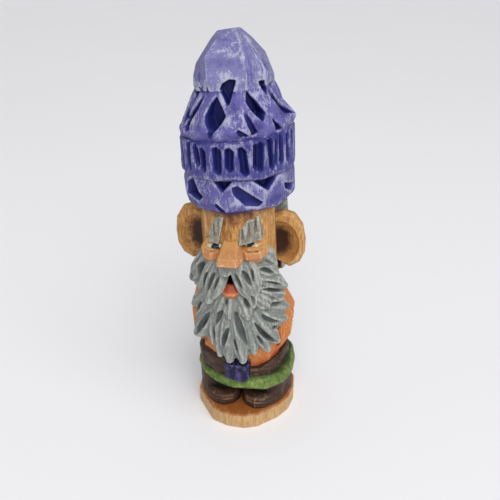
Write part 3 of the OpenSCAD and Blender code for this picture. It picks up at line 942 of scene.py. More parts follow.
EAR = raised([(9, 13), (12.4, 11), (14.7, 8.4), (18.2, 7.4), (22, 9.8), (23.8, 13.5), (24.1, 18.5),
              (23.2, 24.2), (20.4, 28.4), (16.8, 29.5), (13.4, 28.4), (9, 26)], NECK_Z)


def make_ear(side):
    block = Block((8.5, -4, NECK_Z + 6), (25, 4.6, NECK_Z + 31), MEDIUM)
    front, back = -3.0, 3.4
    field = np.maximum(outline_field(block, EAR, 0.9, front + 1.6),
                       outline_field(block, EAR, -1.2, back - 2.8))
    field = np.maximum(field, plane(block, (0.1, -1, 0.04), (18, front, NECK_Z + 18)))
    field = np.maximum(field, slab(block, (0, 1, 0), back))
    middle_x, middle_z = 15.0, NECK_Z + 17.6
    field = cut(field, ellipsoid(block, (middle_x, front - 0.5, middle_z), (7.4, 3.4, 8.6)))
    # The ear at the figure's right is painted darker than the other: painted shade on the side away from the
    # key light.
    inset, rise, shade = (-1.5, -0.8, -0.1) if side > 0 else (1.2, 0.6, -0.35)

    # Painted shade in the ear's hollow.
    def stain_and_shade(x, y, z):
        out = np.hypot((x - middle_x + 0.4) / 6.0, (z - middle_z) / 7.4)
        core = np.hypot((x - middle_x + 0.8) / 4.4, (z - middle_z) / 5.8)
        soft = 0.62 * (1 - blend(out, 0.4, 1.2)) + 0.75 * (1 - blend(core, 0.2, 1.3))
        return soft * (y < front + 3.2)
    carve(sided("ear", side), SKIN, block, field,
          HEAD @ Matrix.Translation((side * inset, 0, rise)), stain_and_shade=stain_and_shade,
          tint=[(78, middle_z, 60, 12, shade)], mirror=side < 0)


def make_nose():
    back = FACE_Y + 0.5
    points = [(-2.3, -17.2, 24), (2.3, -17.2, 24), (-3.1, -23.4, 19.8), (3.0, -23.4, 19.7),
              (-3.4, -24.3, 17.6), (3.1, -24.3, 17.4), (-4.6, -20.4, 18.8), (4.6, -20.4, 18.6),
              (-3.9, -20.6, 16.4), (3.7, -20.6, 16.3), (-3.4, back, 22.5), (3.4, back, 22.5),
              (-4.4, back, 17), (4.4, back, 17)]
    points = raised(points, NECK_Z)
    block = block_for(np.array(points), FINE)
    field = hull(block, points)
    for side in (-1, 1):
        wing = [(side * 4.0, -21.4, 19.4), (side * 4.6, -19.4, 19), (side * 4.5, -17.6, 16)]
        field = veiner(block, field, raised(wing, NECK_Z), 0.3)
    carve("nose", BLUSH, block, field, HEAD,
          tint=above(NECK_Z, [(0, 21.6, 8, 1, -0.35), (-12, 17.4, 5, 1, 0.3)]),
          stain_and_shade=lambda x, y, z: 0.55 * blend(z, EYE_Z - 1.6, EYE_Z + 1) + 0.2)


def make_cheek(side):
    if side > 0:
        parts = [((6.8, FACE_Y - 0.2, NECK_Z + 19), (4.6, 3.2, 2.7)),
                 ((8.8, FACE_Y + 1.0, NECK_Z + 21.6), (3.2, 2.8, 4.0))]
        creases = [[(4.6, 20.8), (7.6, 20.6), (10.6, 21.2)],
                   [(6.6, 21.8), (8.6, 22.2), (10.8, 22.4)],
                   [(7.6, 23.4), (9.4, 24), (11, 23.8)]]
        seam = NECK_Z + 20.8
    else:
        parts = [((-7.2, FACE_Y - 0.2, NECK_Z + 18), (3.6, 3.3, 2.9)),
                 ((-7.8, FACE_Y + 0.6, NECK_Z + 20.6), (2.8, 2.6, 3.2))]
        creases = [[(-5, 20), (-7.6, 19.9), (-9.8, 20.4)],
                   [(-7.2, 21.4), (-8.6, 21.8), (-9.8, 21.8)]]
        seam = NECK_Z + 20.2
    points = np.concatenate([ellipsoid_points(*part) for part in parts])
    block = block_for(points, FINE, 0.9)
    field = whittled(block, points, [(0, 7), (38, 6), (-38, 6), (70, 3)], 95 + side, 0.15, 0.1, False)
    uncut = field.copy()
    for crease in creases:
        field = veiner(block, field, on_front(block, uncut, raised(crease, NECK_Z)), 0.4)
    carve(sided("cheek", side), BLUSH, block, field, HEAD,
          stain_and_shade=lambda x, y, z: 1.0 * blend(z, seam - 0.6, seam + 0.6))


def make_eye(side):
    x0, z0, gaze = (7.2, EYE_Z + 0.5, -0.2) if side > 0 else (-5.9, EYE_Z - 0.7, 0.5)
    centre = np.array((x0, FACE_Y - 1.0, z0))
    block = Block(centre - 3.2, centre + 3.2, FINE)
    field = ellipsoid(block, centre, (2.9, 2.1, 0.95))

    def stain_and_shade(x, y, z):
        return 1.3 * (1 - blend(np.hypot((x - (x0 + gaze)) / 1.3, z - z0), 0.9, 1.2))
    carve(sided("eye", side), EYE, block, field, HEAD, stain_and_shade=stain_and_shade)


def make_brow(side):
    """The brows are combed downwards with a small gouge."""
    f = FACE_Y - 3.1
    if side > 0:
        outline = [(2.8, f + 0.2, 22.4), (6.4, f, 23.6), (10.6, f + 1.4, 24.8), (10.0, f + 1.6, 30.6),
                   (3.6, f + 0.5, 28.2), (9.6, f + 2.6, 32.4), (6.6, f + 2.0, 32.2)]
        back = [(3.0, -13, 23), (10.4, -13, 25), (9.2, -13, 32.6), (4.4, -13, 30)]
        combs = [(3.6 + 1.1 * i, 21.6 + 0.5 * i, 27.6 + 0.9 * i) for i in range(6)]
    else:
        outline = [(-4.2, f + 0.2, 22.6), (-7.6, f + 0.8, 23.2), (-7.2, f + 1.2, 27.0),
                   (-4.8, f + 1.4, 32.4), (-1.8, f + 0.8, 32.2), (-3.2, f + 0.2, 26.6)]
        back = [(-4.2, -13, 22.8), (-7.8, -13, 24), (-5.2, -13, 32.6), (-2, -13, 32.2)]
        combs = [(-4.2 - 0.95 * i, 22, 30.4 - 0.6 * i) for i in range(4)]
    points = raised(outline + back, NECK_Z)
    block = block_for(np.array(points), FINE)
    uncut = hull(block, points)
    field = uncut
    for k, (x, low, high) in enumerate(combs):
        sway = 0.25 * (-1) ** k
        path = [(x + sway * i, z) for i, z in enumerate((low, (low + high) / 2, high))]
        field = veiner(block, field, on_front(block, uncut, raised(path, NECK_Z)), 0.24 + 0.06 * (k % 2))
    carve(sided("brow", side), BROW, block, field, HEAD, uncut,
          tint=[(-16, EYE_Z + 10, 4, 0.8, -0.5)])


def make_lip():
    points = ellipsoid_points((-1.0, FACE_Y - 2.9, LIP_Z - 1.5), (3.1, 2.6, 1.3))
    block = block_for(points, FINE, 0.9)
    field = whittled(block, points, [(0, 8), (35, 6), (-40, 6)], 99, 0.1, 0.08, False)
    carve("lip", LIP, block, field, HEAD,
          stain_and_shade=lambda x, y, z: 0.7 * blend(z, LIP_Z - 1.4, LIP_Z - 0.6))


# ---- Hair and beard ----

def bezier(root, middle, tip):
    """A curve through three points."""
    steps = 8
    root, middle, tip = (np.array(p, float) for p in (root, middle, tip))
    pull = 2 * middle - (root + tip) / 2
    t = np.linspace(0, 1, steps)[:, None]
    return (1 - t) ** 2 * root + 2 * t * (1 - t) * pull + t ** 2 * tip


class Locks:
    """Locks of hair laid round the middle of the figure, and gouge cuts between them. Paths are
    (angle, height) points: root, middle and tip."""

    ARC = math.radians(1) * 18.5

    def __init__(self, block):
        self.block = block
        self.field = block.empty()
        self.across = np.zeros(block.shape, np.float32)
        self.run = np.zeros(block.shape, np.float32)
        self.count = 0

    def near(self, points, reach):
        """The part of the block round a path, and for each grid point in it: the distance from
        the path as unrolled, how far along it lies, which side it is on, and its radius."""
        b = self.block
        path = bezier(*points) * np.array((self.ARC, 1))
        u = b.angle * self.ARC
        inside = ((u > path[:, 0].min() - reach) & (u < path[:, 0].max() + reach))[:, :, 0]
        heights = b.z[0, 0]
        high = (heights > path[:, 1].min() - reach) & (heights < path[:, 1].max() + reach)
        xs, ys, zs = np.nonzero(inside.any(1))[0], np.nonzero(inside.any(0))[0], np.nonzero(high)[0]
        if not (len(xs) and len(ys) and len(zs)):
            return None
        part = (slice(xs[0], xs[-1] + 1), slice(ys[0], ys[-1] + 1), slice(zs[0], zs[-1] + 1))
        u, v, r = u[part[:2]], b.z[:, :, part[2]], b.radius[part[:2]]
        best = np.full(np.broadcast_shapes(u.shape, v.shape), 1e9, np.float32)
        along, side = np.zeros_like(best), np.zeros_like(best)
        last = len(path) - 1
        for k in range(last):
            a, d = path[k], path[k + 1] - path[k]
            s = np.clip(((u - a[0]) * d[0] + (v - a[1]) * d[1]) / float(d @ d), 0, 1)
            du, dv = u - a[0] - s * d[0], v - a[1] - s * d[1]
            distance = du * du + dv * dv
            nearer = distance < best
            best = np.where(nearer, distance, best)
            along = np.where(nearer, (k + s) / last, along)
            side = np.where(nearer, np.sign(du * d[1] - dv * d[0]), side)
        return part, np.sqrt(best), along, side, r

    def lay(self, points, width, ridge, thick=3.6, grooves=(-0.4, 0.35)):
        """A lock: ridge is its radius at the root, middle and tip, and grooves run along it."""
        found = self.near(points, width * 0.6 + 1)
        if found is None:
            return
        part, distance, along, side, r = found
        half = width / 2 * np.interp(along, (0, 0.35, 0.75, 1), (0.7, 0.95, 1.05, 0.5))
        q = distance / half
        crest = (ridge[0] * (1 - along) * (1 - 2 * along) + 4 * ridge[1] * along * (1 - along)
                 + ridge[2] * along * (2 * along - 1))
        height = crest - thick * (0.1 * q + 0.18 * q ** 2 + 0.3 * q ** 4)
        for place in grooves:
            cut_in = np.exp(-((q * side - place) / 0.14) ** 2) * blend(along, 0, 0.15) * blend(along, 1, 0.85)
            height = height - 0.45 * cut_in
        under = crest - thick * (1.05 - 0.3 * along)
        lock = np.maximum(np.maximum((r - height) * 0.8, under - r), distance - half * 1.12)
        self.comb(part, lock < self.field[part], side * distance, along * 20)
        self.field[part] = np.minimum(self.field[part], lock)

    def comb(self, part, where, across, run):
        """Keeps which way the strands lie, for the paint."""
        self.count += 1
        self.across[part] = np.where(where, across + 7 * self.count, self.across[part])
        self.run[part] = np.where(where, run, self.run[part])

    def gouge(self, points, width, depth, surface=19.3):
        """A leaf-shaped cut."""
        found = self.near(points, width)
        if found is None:
            return
        part, distance, along, side, r = found
        leaf = np.sin(np.pi * np.clip(along, 0.001, 0.999)) ** 0.6
        half = width / 2 * leaf
        q = distance / half
        floor = np.maximum(surface - depth * leaf * (1 - 0.85 * q ** 2), 17)
        tool = np.maximum(floor - r, distance - half)
        self.comb(part, -tool > self.field[part] - 0.2, side * distance, along * 12)
        self.field[part] = np.maximum(self.field[part], -tool)


def under_mass(block, angle, half_angle, z, half_height, radius, inner=12.5):
    """The mass under the locks, which closes the gaps between them."""
    u = (block.angle - angle) * Locks.ARC
    width = half_angle * Locks.ARC
    patch = (np.hypot(u / width, (block.z - z) / half_height) - 1) * min(width, half_height)
    return np.maximum(np.maximum(block.radius - radius, inner - block.radius), patch).astype(np.float32)


def carve_locks(node, block, masses, laid, gouges, place=TORSO, base=NECK_Z):
    """Locks over their masses, then the gouge cuts, as one piece. Heights count from base."""
    locks = Locks(block)
    for path, *shape in laid:
        locks.lay(raised(path, base), *shape)
    for angle, half_angle, z, *shape in masses:
        locks.field = melt(locks.field, under_mass(block, angle, half_angle, z + base, *shape), 0.4)
    uncut = locks.field.copy()
    for path, *shape in gouges:
        locks.gouge(raised(path, base), *shape)
    carve(node, HAIR, block, locks.field, place, uncut, strands=locks)


DEEP = (17.2, 18.6, 18.9)
HIGH = (17.8, 19.6, 19.4)
PROUD = (18.0, 20.0, 19.8)
WIDE = (17.8, 19.9, 20.2)


def make_beard():
    block = Block((-20, -22.5, BELT_Z + 6), (20, -4, LIP_Z + 1.5), MEDIUM)
    laid = [
        (((-28, -4), (-43, -12), (-68, -22.5)), 7.6, WIDE),
        (((-20, -2), (-30, -11), (-28, -20)), 4.2, DEEP),
        (((-10, -2), (-22, -12), (-20, -24.2)), 6.4, DEEP),
        (((-4, -3), (-8, -13), (-7, -25.4)), 7.0, HIGH),
        (((-2, 0), (4, -13), (9, -25.2)), 7.0, HIGH),
        (((11, -2), (18, -12), (23, -21.8)), 6.8, DEEP),
        (((16, -4), (30, -13), (40, -21.8)), 6.6, HIGH),
        (((23, -5), (38, -12.5), (53, -19.5)), 6.4, PROUD),
        (((30, -3), (48, -9), (66, -11.5)), 6.4, PROUD),
        (((31, -1), (52, -4.5), (72, -7.5)), 7.0, HIGH),
        (((-30, 5), (-46, -2), (-69, -9)), 5.8, WIDE),
        (((-32, 0), (-44, -6), (-60, -13)), 4.8, HIGH),
        (((-8, 3), (-14, -1), (-18, -6)), 6.0, HIGH),
        (((6, 3), (12, -1), (16, -6)), 6.0, HIGH),
        (((-2, 3), (-3, -1), (-4, -6)), 6.0, HIGH),
        (((22, 3), (32, 0), (42, -3)), 6.0, HIGH)]
    gouges = [
        (((-42, -3), (-48, -6.5), (-56, -10)), 1.8, 2.0),
        (((-29, -5), (-41, -12), (-58, -20.5)), 2.8, 2.4),
        (((-11, -3), (-18, -7), (-25, -12)), 2.6, 2.8),
        (((-25, -11.5), (-26, -15), (-24, -19.5)), 1.5, 2.2),
        (((-5, -10), (-11, -15), (-15, -21)), 2.4, 2.2),
        (((2, -2.5), (7, -10), (16, -19)), 3.0, 2.8),
        (((0, -14), (2, -18), (5, -23)), 1.2, 1.4),
        (((22, -7.5), (34, -14), (50, -19.5)), 2.0, 2.6),
        (((25, -13.5), (29, -16), (33, -19)), 1.5, 1.8),
        (((29, -3.5), (38, -8), (54, -10.5)), 2.4, 2.6, 19.9),
        (((41, -2.6), (50, -2.8), (66, -4)), 1.8, 2.2),
        (((41, -12), (52, -12.6), (63, -12.4)), 1.6, 2.2, 19.9),
        (((-6, 2), (-7, 0.5), (-8, -1.5)), 1.4, 1.4),
        (((12, 3), (15, 0.6), (19, -2)), 2.0, 2.2)]
    masses = [(-2, 40, -10, 14.6, 17.9), (34, 30, -8, 11, 17.6), (-38, 26, -9, 11, 17.4)]
    carve_locks("beard", block, masses, laid, gouges)


def make_whisker(side):
    if side > 0:
        block = Block((0.5, -21.5, NECK_Z - 8), (21.5, -2, NECK_Z + 21), MEDIUM)
        laid = [(((26, 19), (37, 18), (49, 13.5)), 6.4, HIGH),
                (((25, 14), (38, 12.5), (51, 10)), 5.6, PROUD),
                (((24, 10), (43, 7.5), (66, 2.5)), 6.2, PROUD),
                (((25, 6), (42, 4), (64, -0.5)), 5.2, HIGH),
                (((26, 3), (40, 1.5), (58, -2.5)), 5.0, DEEP)]
        gouges = [(((29, 13.4), (36, 12.6), (44, 11)), 2.0, 2.0),
                  (((30, 16.5), (37, 16), (44, 14)), 1.1, 1.0),
                  (((31, 5.2), (44, 3.8), (61, 1.6)), 1.7, 2.2),
                  (((34, 8.4), (44, 7), (56, 4.6)), 1.0, 1.0),
                  (((36, 1.4), (44, 0), (54, -2)), 1.8, 2.0)]
        masses = [(34, 17, 7, 12.5, 17.4)]
    else:
        block = Block((-21.8, -21.5, NECK_Z - 2), (-0.5, -2, NECK_Z + 22), MEDIUM)
        laid = [(((-28, 19.5), (-44, 12), (-68, 2.4)), 6.8, WIDE),
                (((-25, 17), (-33, 10), (-42, 3)), 5.0, PROUD),
                (((-30, 14), (-48, 7.5), (-60, 1.5)), 6.0, DEEP),
                (((-28, 8), (-36, 3), (-44, -1)), 5.0, DEEP)]
        gouges = [(((-31, 14.5), (-40, 10.5), (-41, 5)), 2.6, 2.6),
                  (((-54, 7.5), (-60, 4.5), (-66, 1.8)), 1.5, 1.4),
                  (((-36, 17.5), (-42, 14.5), (-50, 11)), 1.0, 1.0)]
        masses = [(-36, 16, 9, 10.5, 17.4)]
    carve_locks(sided("whisker", side), block, masses, laid, gouges)


BOLD = (18.2, 20.9, 20.2)
BOLDER = (18.8, 21.4, 20.6)


def make_moustache(side):
    if side > 0:
        block = Block((-3, -24, NECK_Z - 4), (14, -12, NECK_Z + 18.5), MEDIUM)
        laid = [(((0.4, 15.6), (9, 9.6), (17, 3.2)), 5.0, BOLDER, 4.6, (0.3,)),
                (((11, 17), (19, 9), (22, -0.6)), 5.2, BOLDER, 4.6, (-0.1,)),
                (((18, 17.5), (24, 11.5), (26, 4)), 4.4, BOLD, 4.2, ())]
        gouges = [(((3.5, 14), (7, 10.5), (10.5, 7.5)), 1.5, 1.8, 21),
                  (((11, 14.5), (15, 12), (19, 8.6)), 2.0, 2.4, 21),
                  (((19.6, 15.4), (21, 13), (21.5, 9.6)), 1.1, 1.6, 20.6),
                  (((19, 5), (21, 2.5), (22, 0)), 0.9, 0.8, 20.6)]
        masses = [(5, 7, 15.2, 3.6, 20.6)]
    else:
        block = Block((-15, -24, NECK_Z - 4), (1, -12, NECK_Z + 18.5), MEDIUM)
        laid = [(((-8, 15.6), (-13.6, 9), (-20, 2)), 4.8, BOLDER, 4.6, (0.2,)),
                (((-13, 16.5), (-22, 9), (-28, -1)), 5.2, BOLDER, 4.6, (0.0,)),
                (((-18, 17), (-28, 10.5), (-32, 2)), 4.4, BOLD, 4.2, ())]
        gouges = [(((-10, 12.5), (-14, 9), (-18, 5)), 1.1, 1.4, 21),
                  (((-15, 13.5), (-20, 9.5), (-25, 4)), 1.4, 1.8, 21),
                  (((-24, 12.5), (-28, 9), (-31, 4.6)), 1.1, 1.6, 20.6)]
        masses = [(-5, 7, 15.2, 3.6, 20.6)]
    carve_locks(sided("moustache", side), block, masses, laid, gouges)


def make_hair():
    """The hair is laid as if the back were the front, and then turned round. It has three tiers
    of locks, each over the one below, and the locks at the sides lie flatter."""
    rng = np.random.default_rng(112)
    block = Block((-19, -20.5, NECK_Z - 6), (19, -0.6, HAT_Z + 1.5), COARSE)
    laid, gouges = [], []
    tiers = ((NECK_Z + 10, NECK_Z - 2.5, 7, 0.0), (NECK_Z + 21, NECK_Z + 7, 6, 0.3),
             (HAT_Z + 3, NECK_Z + 17, 7, 0.4))
    for root, tip, count, crest in tiers:
        for i in range(count):
            angle = -64 + 128 * (i + 0.5) / count
            lean = rng.uniform(-9, 9)
            end = tip + rng.uniform(-2, 2) + 2.5 * (abs(angle) > 50)
            flat = 1.7 * (abs(angle) > 50)
            ridge = (16.6 + crest - flat, 17.9 + crest - flat, 18.0 + crest - flat)
            path = ((angle - lean * 0.4, root), (angle + lean * 0.7, (root + end) / 2 + 1),
                    (angle - lean, end))
            laid.append((path, rng.uniform(6.2, 7.6), ridge, 3.4))
            if i < count - 1:
                cut_at = angle + 64 / count
                top, bottom = root - 3, end + rng.uniform(2.5, 5)
                path = ((cut_at - lean * 0.3, top), (cut_at + lean * 0.5, (top + bottom) / 2),
                        (cut_at - lean * 0.6, bottom))
                gouges.append((path, rng.uniform(1.4, 2.4), 1.8, 18 + crest))
    masses = [(0, 78, NECK_Z + 22, 20, 16.4, 11)]
    carve_locks("hair", block, masses, laid, gouges, HEAD @ Matrix.Rotation(math.pi, 4, "Z"), 0)


# ---- Hat ----

def hat_block(name, spare=0.8):
    """The corners of a hat's CAD node, and a block that holds them."""
    points = node_points(name, HEAD)
    return points, block_for(points, COARSE, spare)


def pit(block, surface_radius, corners, depth, slope):
    """A pit cut into a round form: corners are (angle, height), anticlockwise seen from outside.
    Its walls lean in by slope for each millimetre down."""
    middle = sum(a for a, z in corners) / len(corners)
    arc = math.radians(1) * surface_radius
    u = ((block.angle - middle + 180) % 360 - 180) * arc
    down = surface_radius + 1 - block.radius
    flat = [((a - middle) * arc, z) for a, z in corners]
    field = down - depth - 1
    for a, b in zip(flat, flat[1:] + flat[:1]):
        out = outward(a, b)
        edge = u * out[0] + block.z * out[1] - (a[0] * out[0] + a[1] * out[1])
        field = np.maximum(field, edge + np.maximum(down - 1, 0) * slope)
    return field.astype(np.float32)


def cut_pits(block, field, base, pits):
    """Cuts pits given as (corners, radius, depth, slope), with heights counted from base."""
    for corners, radius, depth, slope in pits:
        field = cut(field, pit(block, radius, raised(corners, base), depth, slope))
    return field


def round_again(shapes, starts):
    """Pits repeated round the back: the shapes take turns, each moved round to its start."""
    return [([(a + start, z) for a, z in shapes[k % len(shapes)][0]], *shapes[k % len(shapes)][1:])
            for k, start in enumerate(starts)]


def make_band():
    points, block = hat_block("hat_band")
    uncut = whittled(block, points, [(-48, 12), (-16, 12), (4, 13), (24, 11)], 121, 0.45, 0.06)
    pits = [([(-16, 1), (-9, -2.4), (-4, -4), (7, -0.3), (4, 1.2)], 18.6, 3.8, 0.15),
            ([(21, 1.3), (43, -4.4), (50, -2), (61, 2)], 18.6, 3.4, 0.25),
            ([(5.5, -2), (6.5, -4), (19, -8.6), (32, -9.2), (37, -7.8), (12, -1.4)], 18.6, 1.4, 0.25),
            ([(-52, -2.8), (-52, -6.4), (-32, -7.8), (-25.5, -5.8), (-40.5, -0.2)], 18.4, 1.8, 0.4),
            ([(62, -3.2), (63.4, -5.2), (84.4, -8.8), (87, -6)], 18.4, 1.8, 0.3),
            ([(-13.6, -8.2), (-6, -11.2), (-1.2, -10), (-10.6, -7.4)], 18.2, 1.4, 0.3)]
    pits += round_again([([(-14, 0.6), (2, -4.5), (15, 0.6)], 18.4, 2.4, 0.3),
                         ([(-14, -3), (9, -9.4), (15, -7.4), (-7, -1)], 18.4, 1.6, 0.3)],
                        (112, 146, 181, 216, 250, 285))
    field = cut_pits(block, uncut, CUFF_Z, pits)
    uncut = np.minimum(uncut, np.maximum(block.radius - 18.4, np.abs(block.z - CUFF_Z) - 3))
    tint = [(-2, -6.4, 12, 2, 0.15), (22, -2.6, 9, 1.6, 0.35), (38, -5.6, 5, 2, 0.3),
            (10, -7, 6, 1, 0.35), (62, -1.5, 10, 1.5, 0.3), (-30, -2, 8, 1.4, 0.2),
            (-14, -9, 12, 1.2, -0.35), (52, -7.4, 9, 2, -0.3), (10, -11, 26, 0.8, -0.9),
            (-50, -9, 14, 1.5, -0.4)]
    carve("hat_band", VIOLET, block, field, HEAD, uncut, tint=above(CUFF_Z, tint))


CUFF_SLOPE = math.radians(3)


def cuff_rise(angle, radius):
    """How much higher the cuff's top is at an angle, as the cuff's top slopes."""
    return math.tan(CUFF_SLOPE) * radius * math.sin(math.radians(angle))


def make_cuff():
    points, block = hat_block("hat_cuff")
    uncut = whittled(block, points, [(-50, 14), (0, 18), (46, 14)], 131, 0.35, 0.03)
    rng = np.random.default_rng(132)
    # Grooves between the ribs: angle, width, bottom and top
    grooves = [(-52, 2.2, 1.5, 11.2), (-38.5, 2.4, 2.2, 12), (-28, 2.2, 4, 12), (-20.6, 2.2, 2.2, 11),
               (-6.2, 3.2, 1.7, 11.5), (5.9, 3.0, 3.0, 11.3), (18.8, 2.9, 1.6, 11.4), (30.6, 1.9, 3, 12),
               (35.4, 2.0, 2.0, 12.4), (46.2, 2.3, 2.2, 13.4), (52.6, 1.4, 3, 12.4), (59.5, 2.2, 2.8, 14.2),
               (71, 2.8, 2.8, 13.8), (83, 2.6, 2.4, 13.6)]
    angle = grooves[-1][0]
    while angle < 292:
        angle += rng.uniform(9, 13)
        rise = cuff_rise(angle, 19)
        grooves.append((angle, rng.uniform(2.0, 3.1), rng.uniform(1.4, 3), 12 + rise + rng.uniform(-1, 0.6)))
    pits = []
    for angle, width, low, high in grooves:
        half = math.degrees(width / 2 / 19.4)
        lean = rng.uniform(-1.2, 1.2)
        corners = [(angle - half - lean, low + 1.6), (angle - lean, low), (angle + half - lean, low + 1),
                   (angle + half + lean, high - 1.4), (angle + lean, high), (angle - half + lean, high - 0.6)]
        pits.append((corners, 19.2, rng.uniform(1.6, 2.1), 0.5))
    field = cut_pits(block, uncut, CUFF_Z, pits)
    seam = [(a, 18.5, CROWN_Z + 0.1 + cuff_rise(a, 18.5)) for a in range(-180, 181, 15)]
    field = veiner(block, field, round_points(seam), 0.5)
    tint = [(52, 12.5, 24, 2.6, -0.45), (0, 1.2, 34, 0.9, 0.2), (12, 11, 7, 1, 0.3),
            (25, 7, 2.6, 4, 0.15), (41, 7, 2.2, 4, 0.1), (49.5, 8, 2, 4, 0.2),
            (66, 8, 3, 5, 0.25), (-13, 7, 3, 4, 0.15), (-33, 6, 2.6, 4, 0.15),
            (-45, 7, 3, 4, 0.2), (34, 7, 5, 5, -0.35), (-26, 12.4, 12, 1, -0.4)]
    carve("hat_cuff", CUFF_VIOLET, block, field, HEAD, uncut, tint=above(CUFF_Z, tint))


# The pits that run up from the crown into the tip
HIGH_PITS = [([(-6, 14.2), (5.5, 9.4), (8.4, 10.4), (19, 17), (8, 17.2), (-2, 16)], 14.2, 3.8, 0.1),
             ([(48, 16), (51, 13.6), (59, 11.2), (64, 12.6), (61, 15.8)], 14.2, 3.2, 0.15)]


def make_crown():
    points, block = hat_block("hat_crown", 1.8)
    field = whittled(block, points, [(2, 12), (26, 12), (40, 12), (52, 8)], 141, 0.4, 0.05)
    # Where the cloth runs up into the tip at the figure's left
    shoulder = [(16, 13.7, 0.6), (50, 13.8, 0.6), (86, 13.4, 0.6), (16, 15.6, -6), (50, 15.9, -6),
                (86, 15.7, -6), (16, 4, 0), (86, 4, 0), (50, 4, -8)]
    field = melt(field, hull(block, round_points(raised(shoulder, TIP_Z))), 0.5)
    # A lumpy lower edge, and the corner that stands out at the figure's left
    for k in range(15):
        angle = -34 + 24 * k + 6 * (k % 2)
        centre = round_points([(angle, 15.7, CROWN_Z + 1.1 + cuff_rise(angle, 17))])[0]
        field = melt(field, ellipsoid(block, centre, (3.4, 3.4, 2.3)), 0.5)
    rolled = np.hypot(block.radius - 16.4, block.z - CROWN_Z - 1.5 - math.tan(CUFF_SLOPE) * block.x) - 2.2
    field = melt(field, rolled, 0.5)
    corner = round_points([(88, 12, CROWN_Z + 9), (90, 18.6, CROWN_Z + 3.6)])
    field = melt(field, rod(block, *corner, 2.6, 1.3), 0.9)
    uncut = field.copy()
    # Folds: shallow cuts that leave raised strips between the pits
    folds = [((60, 14.6, 13), (78, 16.9, 6), 0.5), ((-62, 15, 10), (-44, 17.2, 2), 0.6)]
    for k in range(8):
        start = 102 + 25 * k
        folds.append(((start, 14.4, 13), (start + 12 - 24 * (k % 2), 17.6, 2.4), 0.55))
    for high, low, radius in folds:
        ends = [(high[0], high[1] + 0.5, high[2]), (low[0], low[1] + 0.4, low[2])]
        field = cut(field, rod(block, *round_points(raised(ends, CROWN_Z)), radius, radius * 1.3))
    pits = [([(-21.5, 6.6), (-17, 3), (-10.5, 1.6), (-4, 3.6), (4.5, 6.8), (0.5, 9.4), (-8.5, 13.4),
              (-17.5, 10)], 16.4, 4.0, 0.2),
            ([(26.3, 10.3), (32.5, 7.7), (41.5, 4.6), (48.4, 6.7), (40.2, 10.9), (31.5, 13.9), (28.2, 13.7)],
             16.2, 4.0, 0.15),
            ([(20.4, 9.6), (29, 1), (35, 2), (24, 9.2)], 16.5, 0.5, 0.6),
            ([(-16, 2.2), (-11.6, -1), (-9, 2.2)], 17.8, 1.8, 0.3),
            ([(14, 2.4), (22, -0.6), (25, 1.4), (16, 3.2)], 17.6, 0.7, 0.5),
            ([(-56, 2), (-47, 0.8), (-22.5, 14.4), (-26, 15.2)], 16.2, 3.0, 0.1),
            ([(61, 14.6), (64, 10), (82, 4.6), (90, 4.2), (76, 9.8), (64, 14.4)], 16.2, 2.8, 0.1),
            ([(54.3, 5.3), (55, 1.2), (65, 1)], 17.2, 3.4, 0.1)] + HIGH_PITS
    for k, start in enumerate((112, 150, 188, 226, 264, 300)):
        lean = 4 * (-1) ** k
        pits.append(([(start - 13, 5 + lean / 3), (start - 3, 0.8), (start + 8, 5.4),
                      (start - 2 + lean, 13)], 16.2, 4.2, 0.1))
        pits.append(([(start + 14, 8.6), (start + 23, 14.6), (start + 5, 14.2)], 14.8, 3.4, 0.1))
    field = cut_pits(block, field, CROWN_Z, pits)
    np.maximum(field, slab(block, (0, 0, -1), -(CROWN_Z - 1.4)), out=field)
    uncut = np.minimum(uncut, np.maximum(block.radius - 13.8, np.abs(block.z - TIP_Z) - 5))
    tint = [(-1, 11.5, 3, 3.5, 0.4), (7, 5.4, 6, 1.4, 0.4), (41, 12.4, 6, 0.8, 0.35),
            (56, 9.4, 8, 1, 0.35), (-36, 5.5, 4, 3, 0.4), (22, 7.4, 2, 3, 0.4),
            (46, 4.2, 5, 0.8, 0.25), (-29, 11, 4, 3, 0.1), (36, 3.6, 6, 2, -0.5),
            (16, 1.6, 8, 1.2, -0.4), (-14, 1, 6, 1.5, -0.5), (14, 10, 6, 4, -0.25),
            (72, 6, 12, 2, -0.3), (-15, 13.4, 7, 1.6, -0.3), (-50, 8, 6, 5, -0.3)]
    carve("hat_crown", CROWN_VIOLET, block, field, HEAD, uncut, tint=above(CROWN_Z, tint))


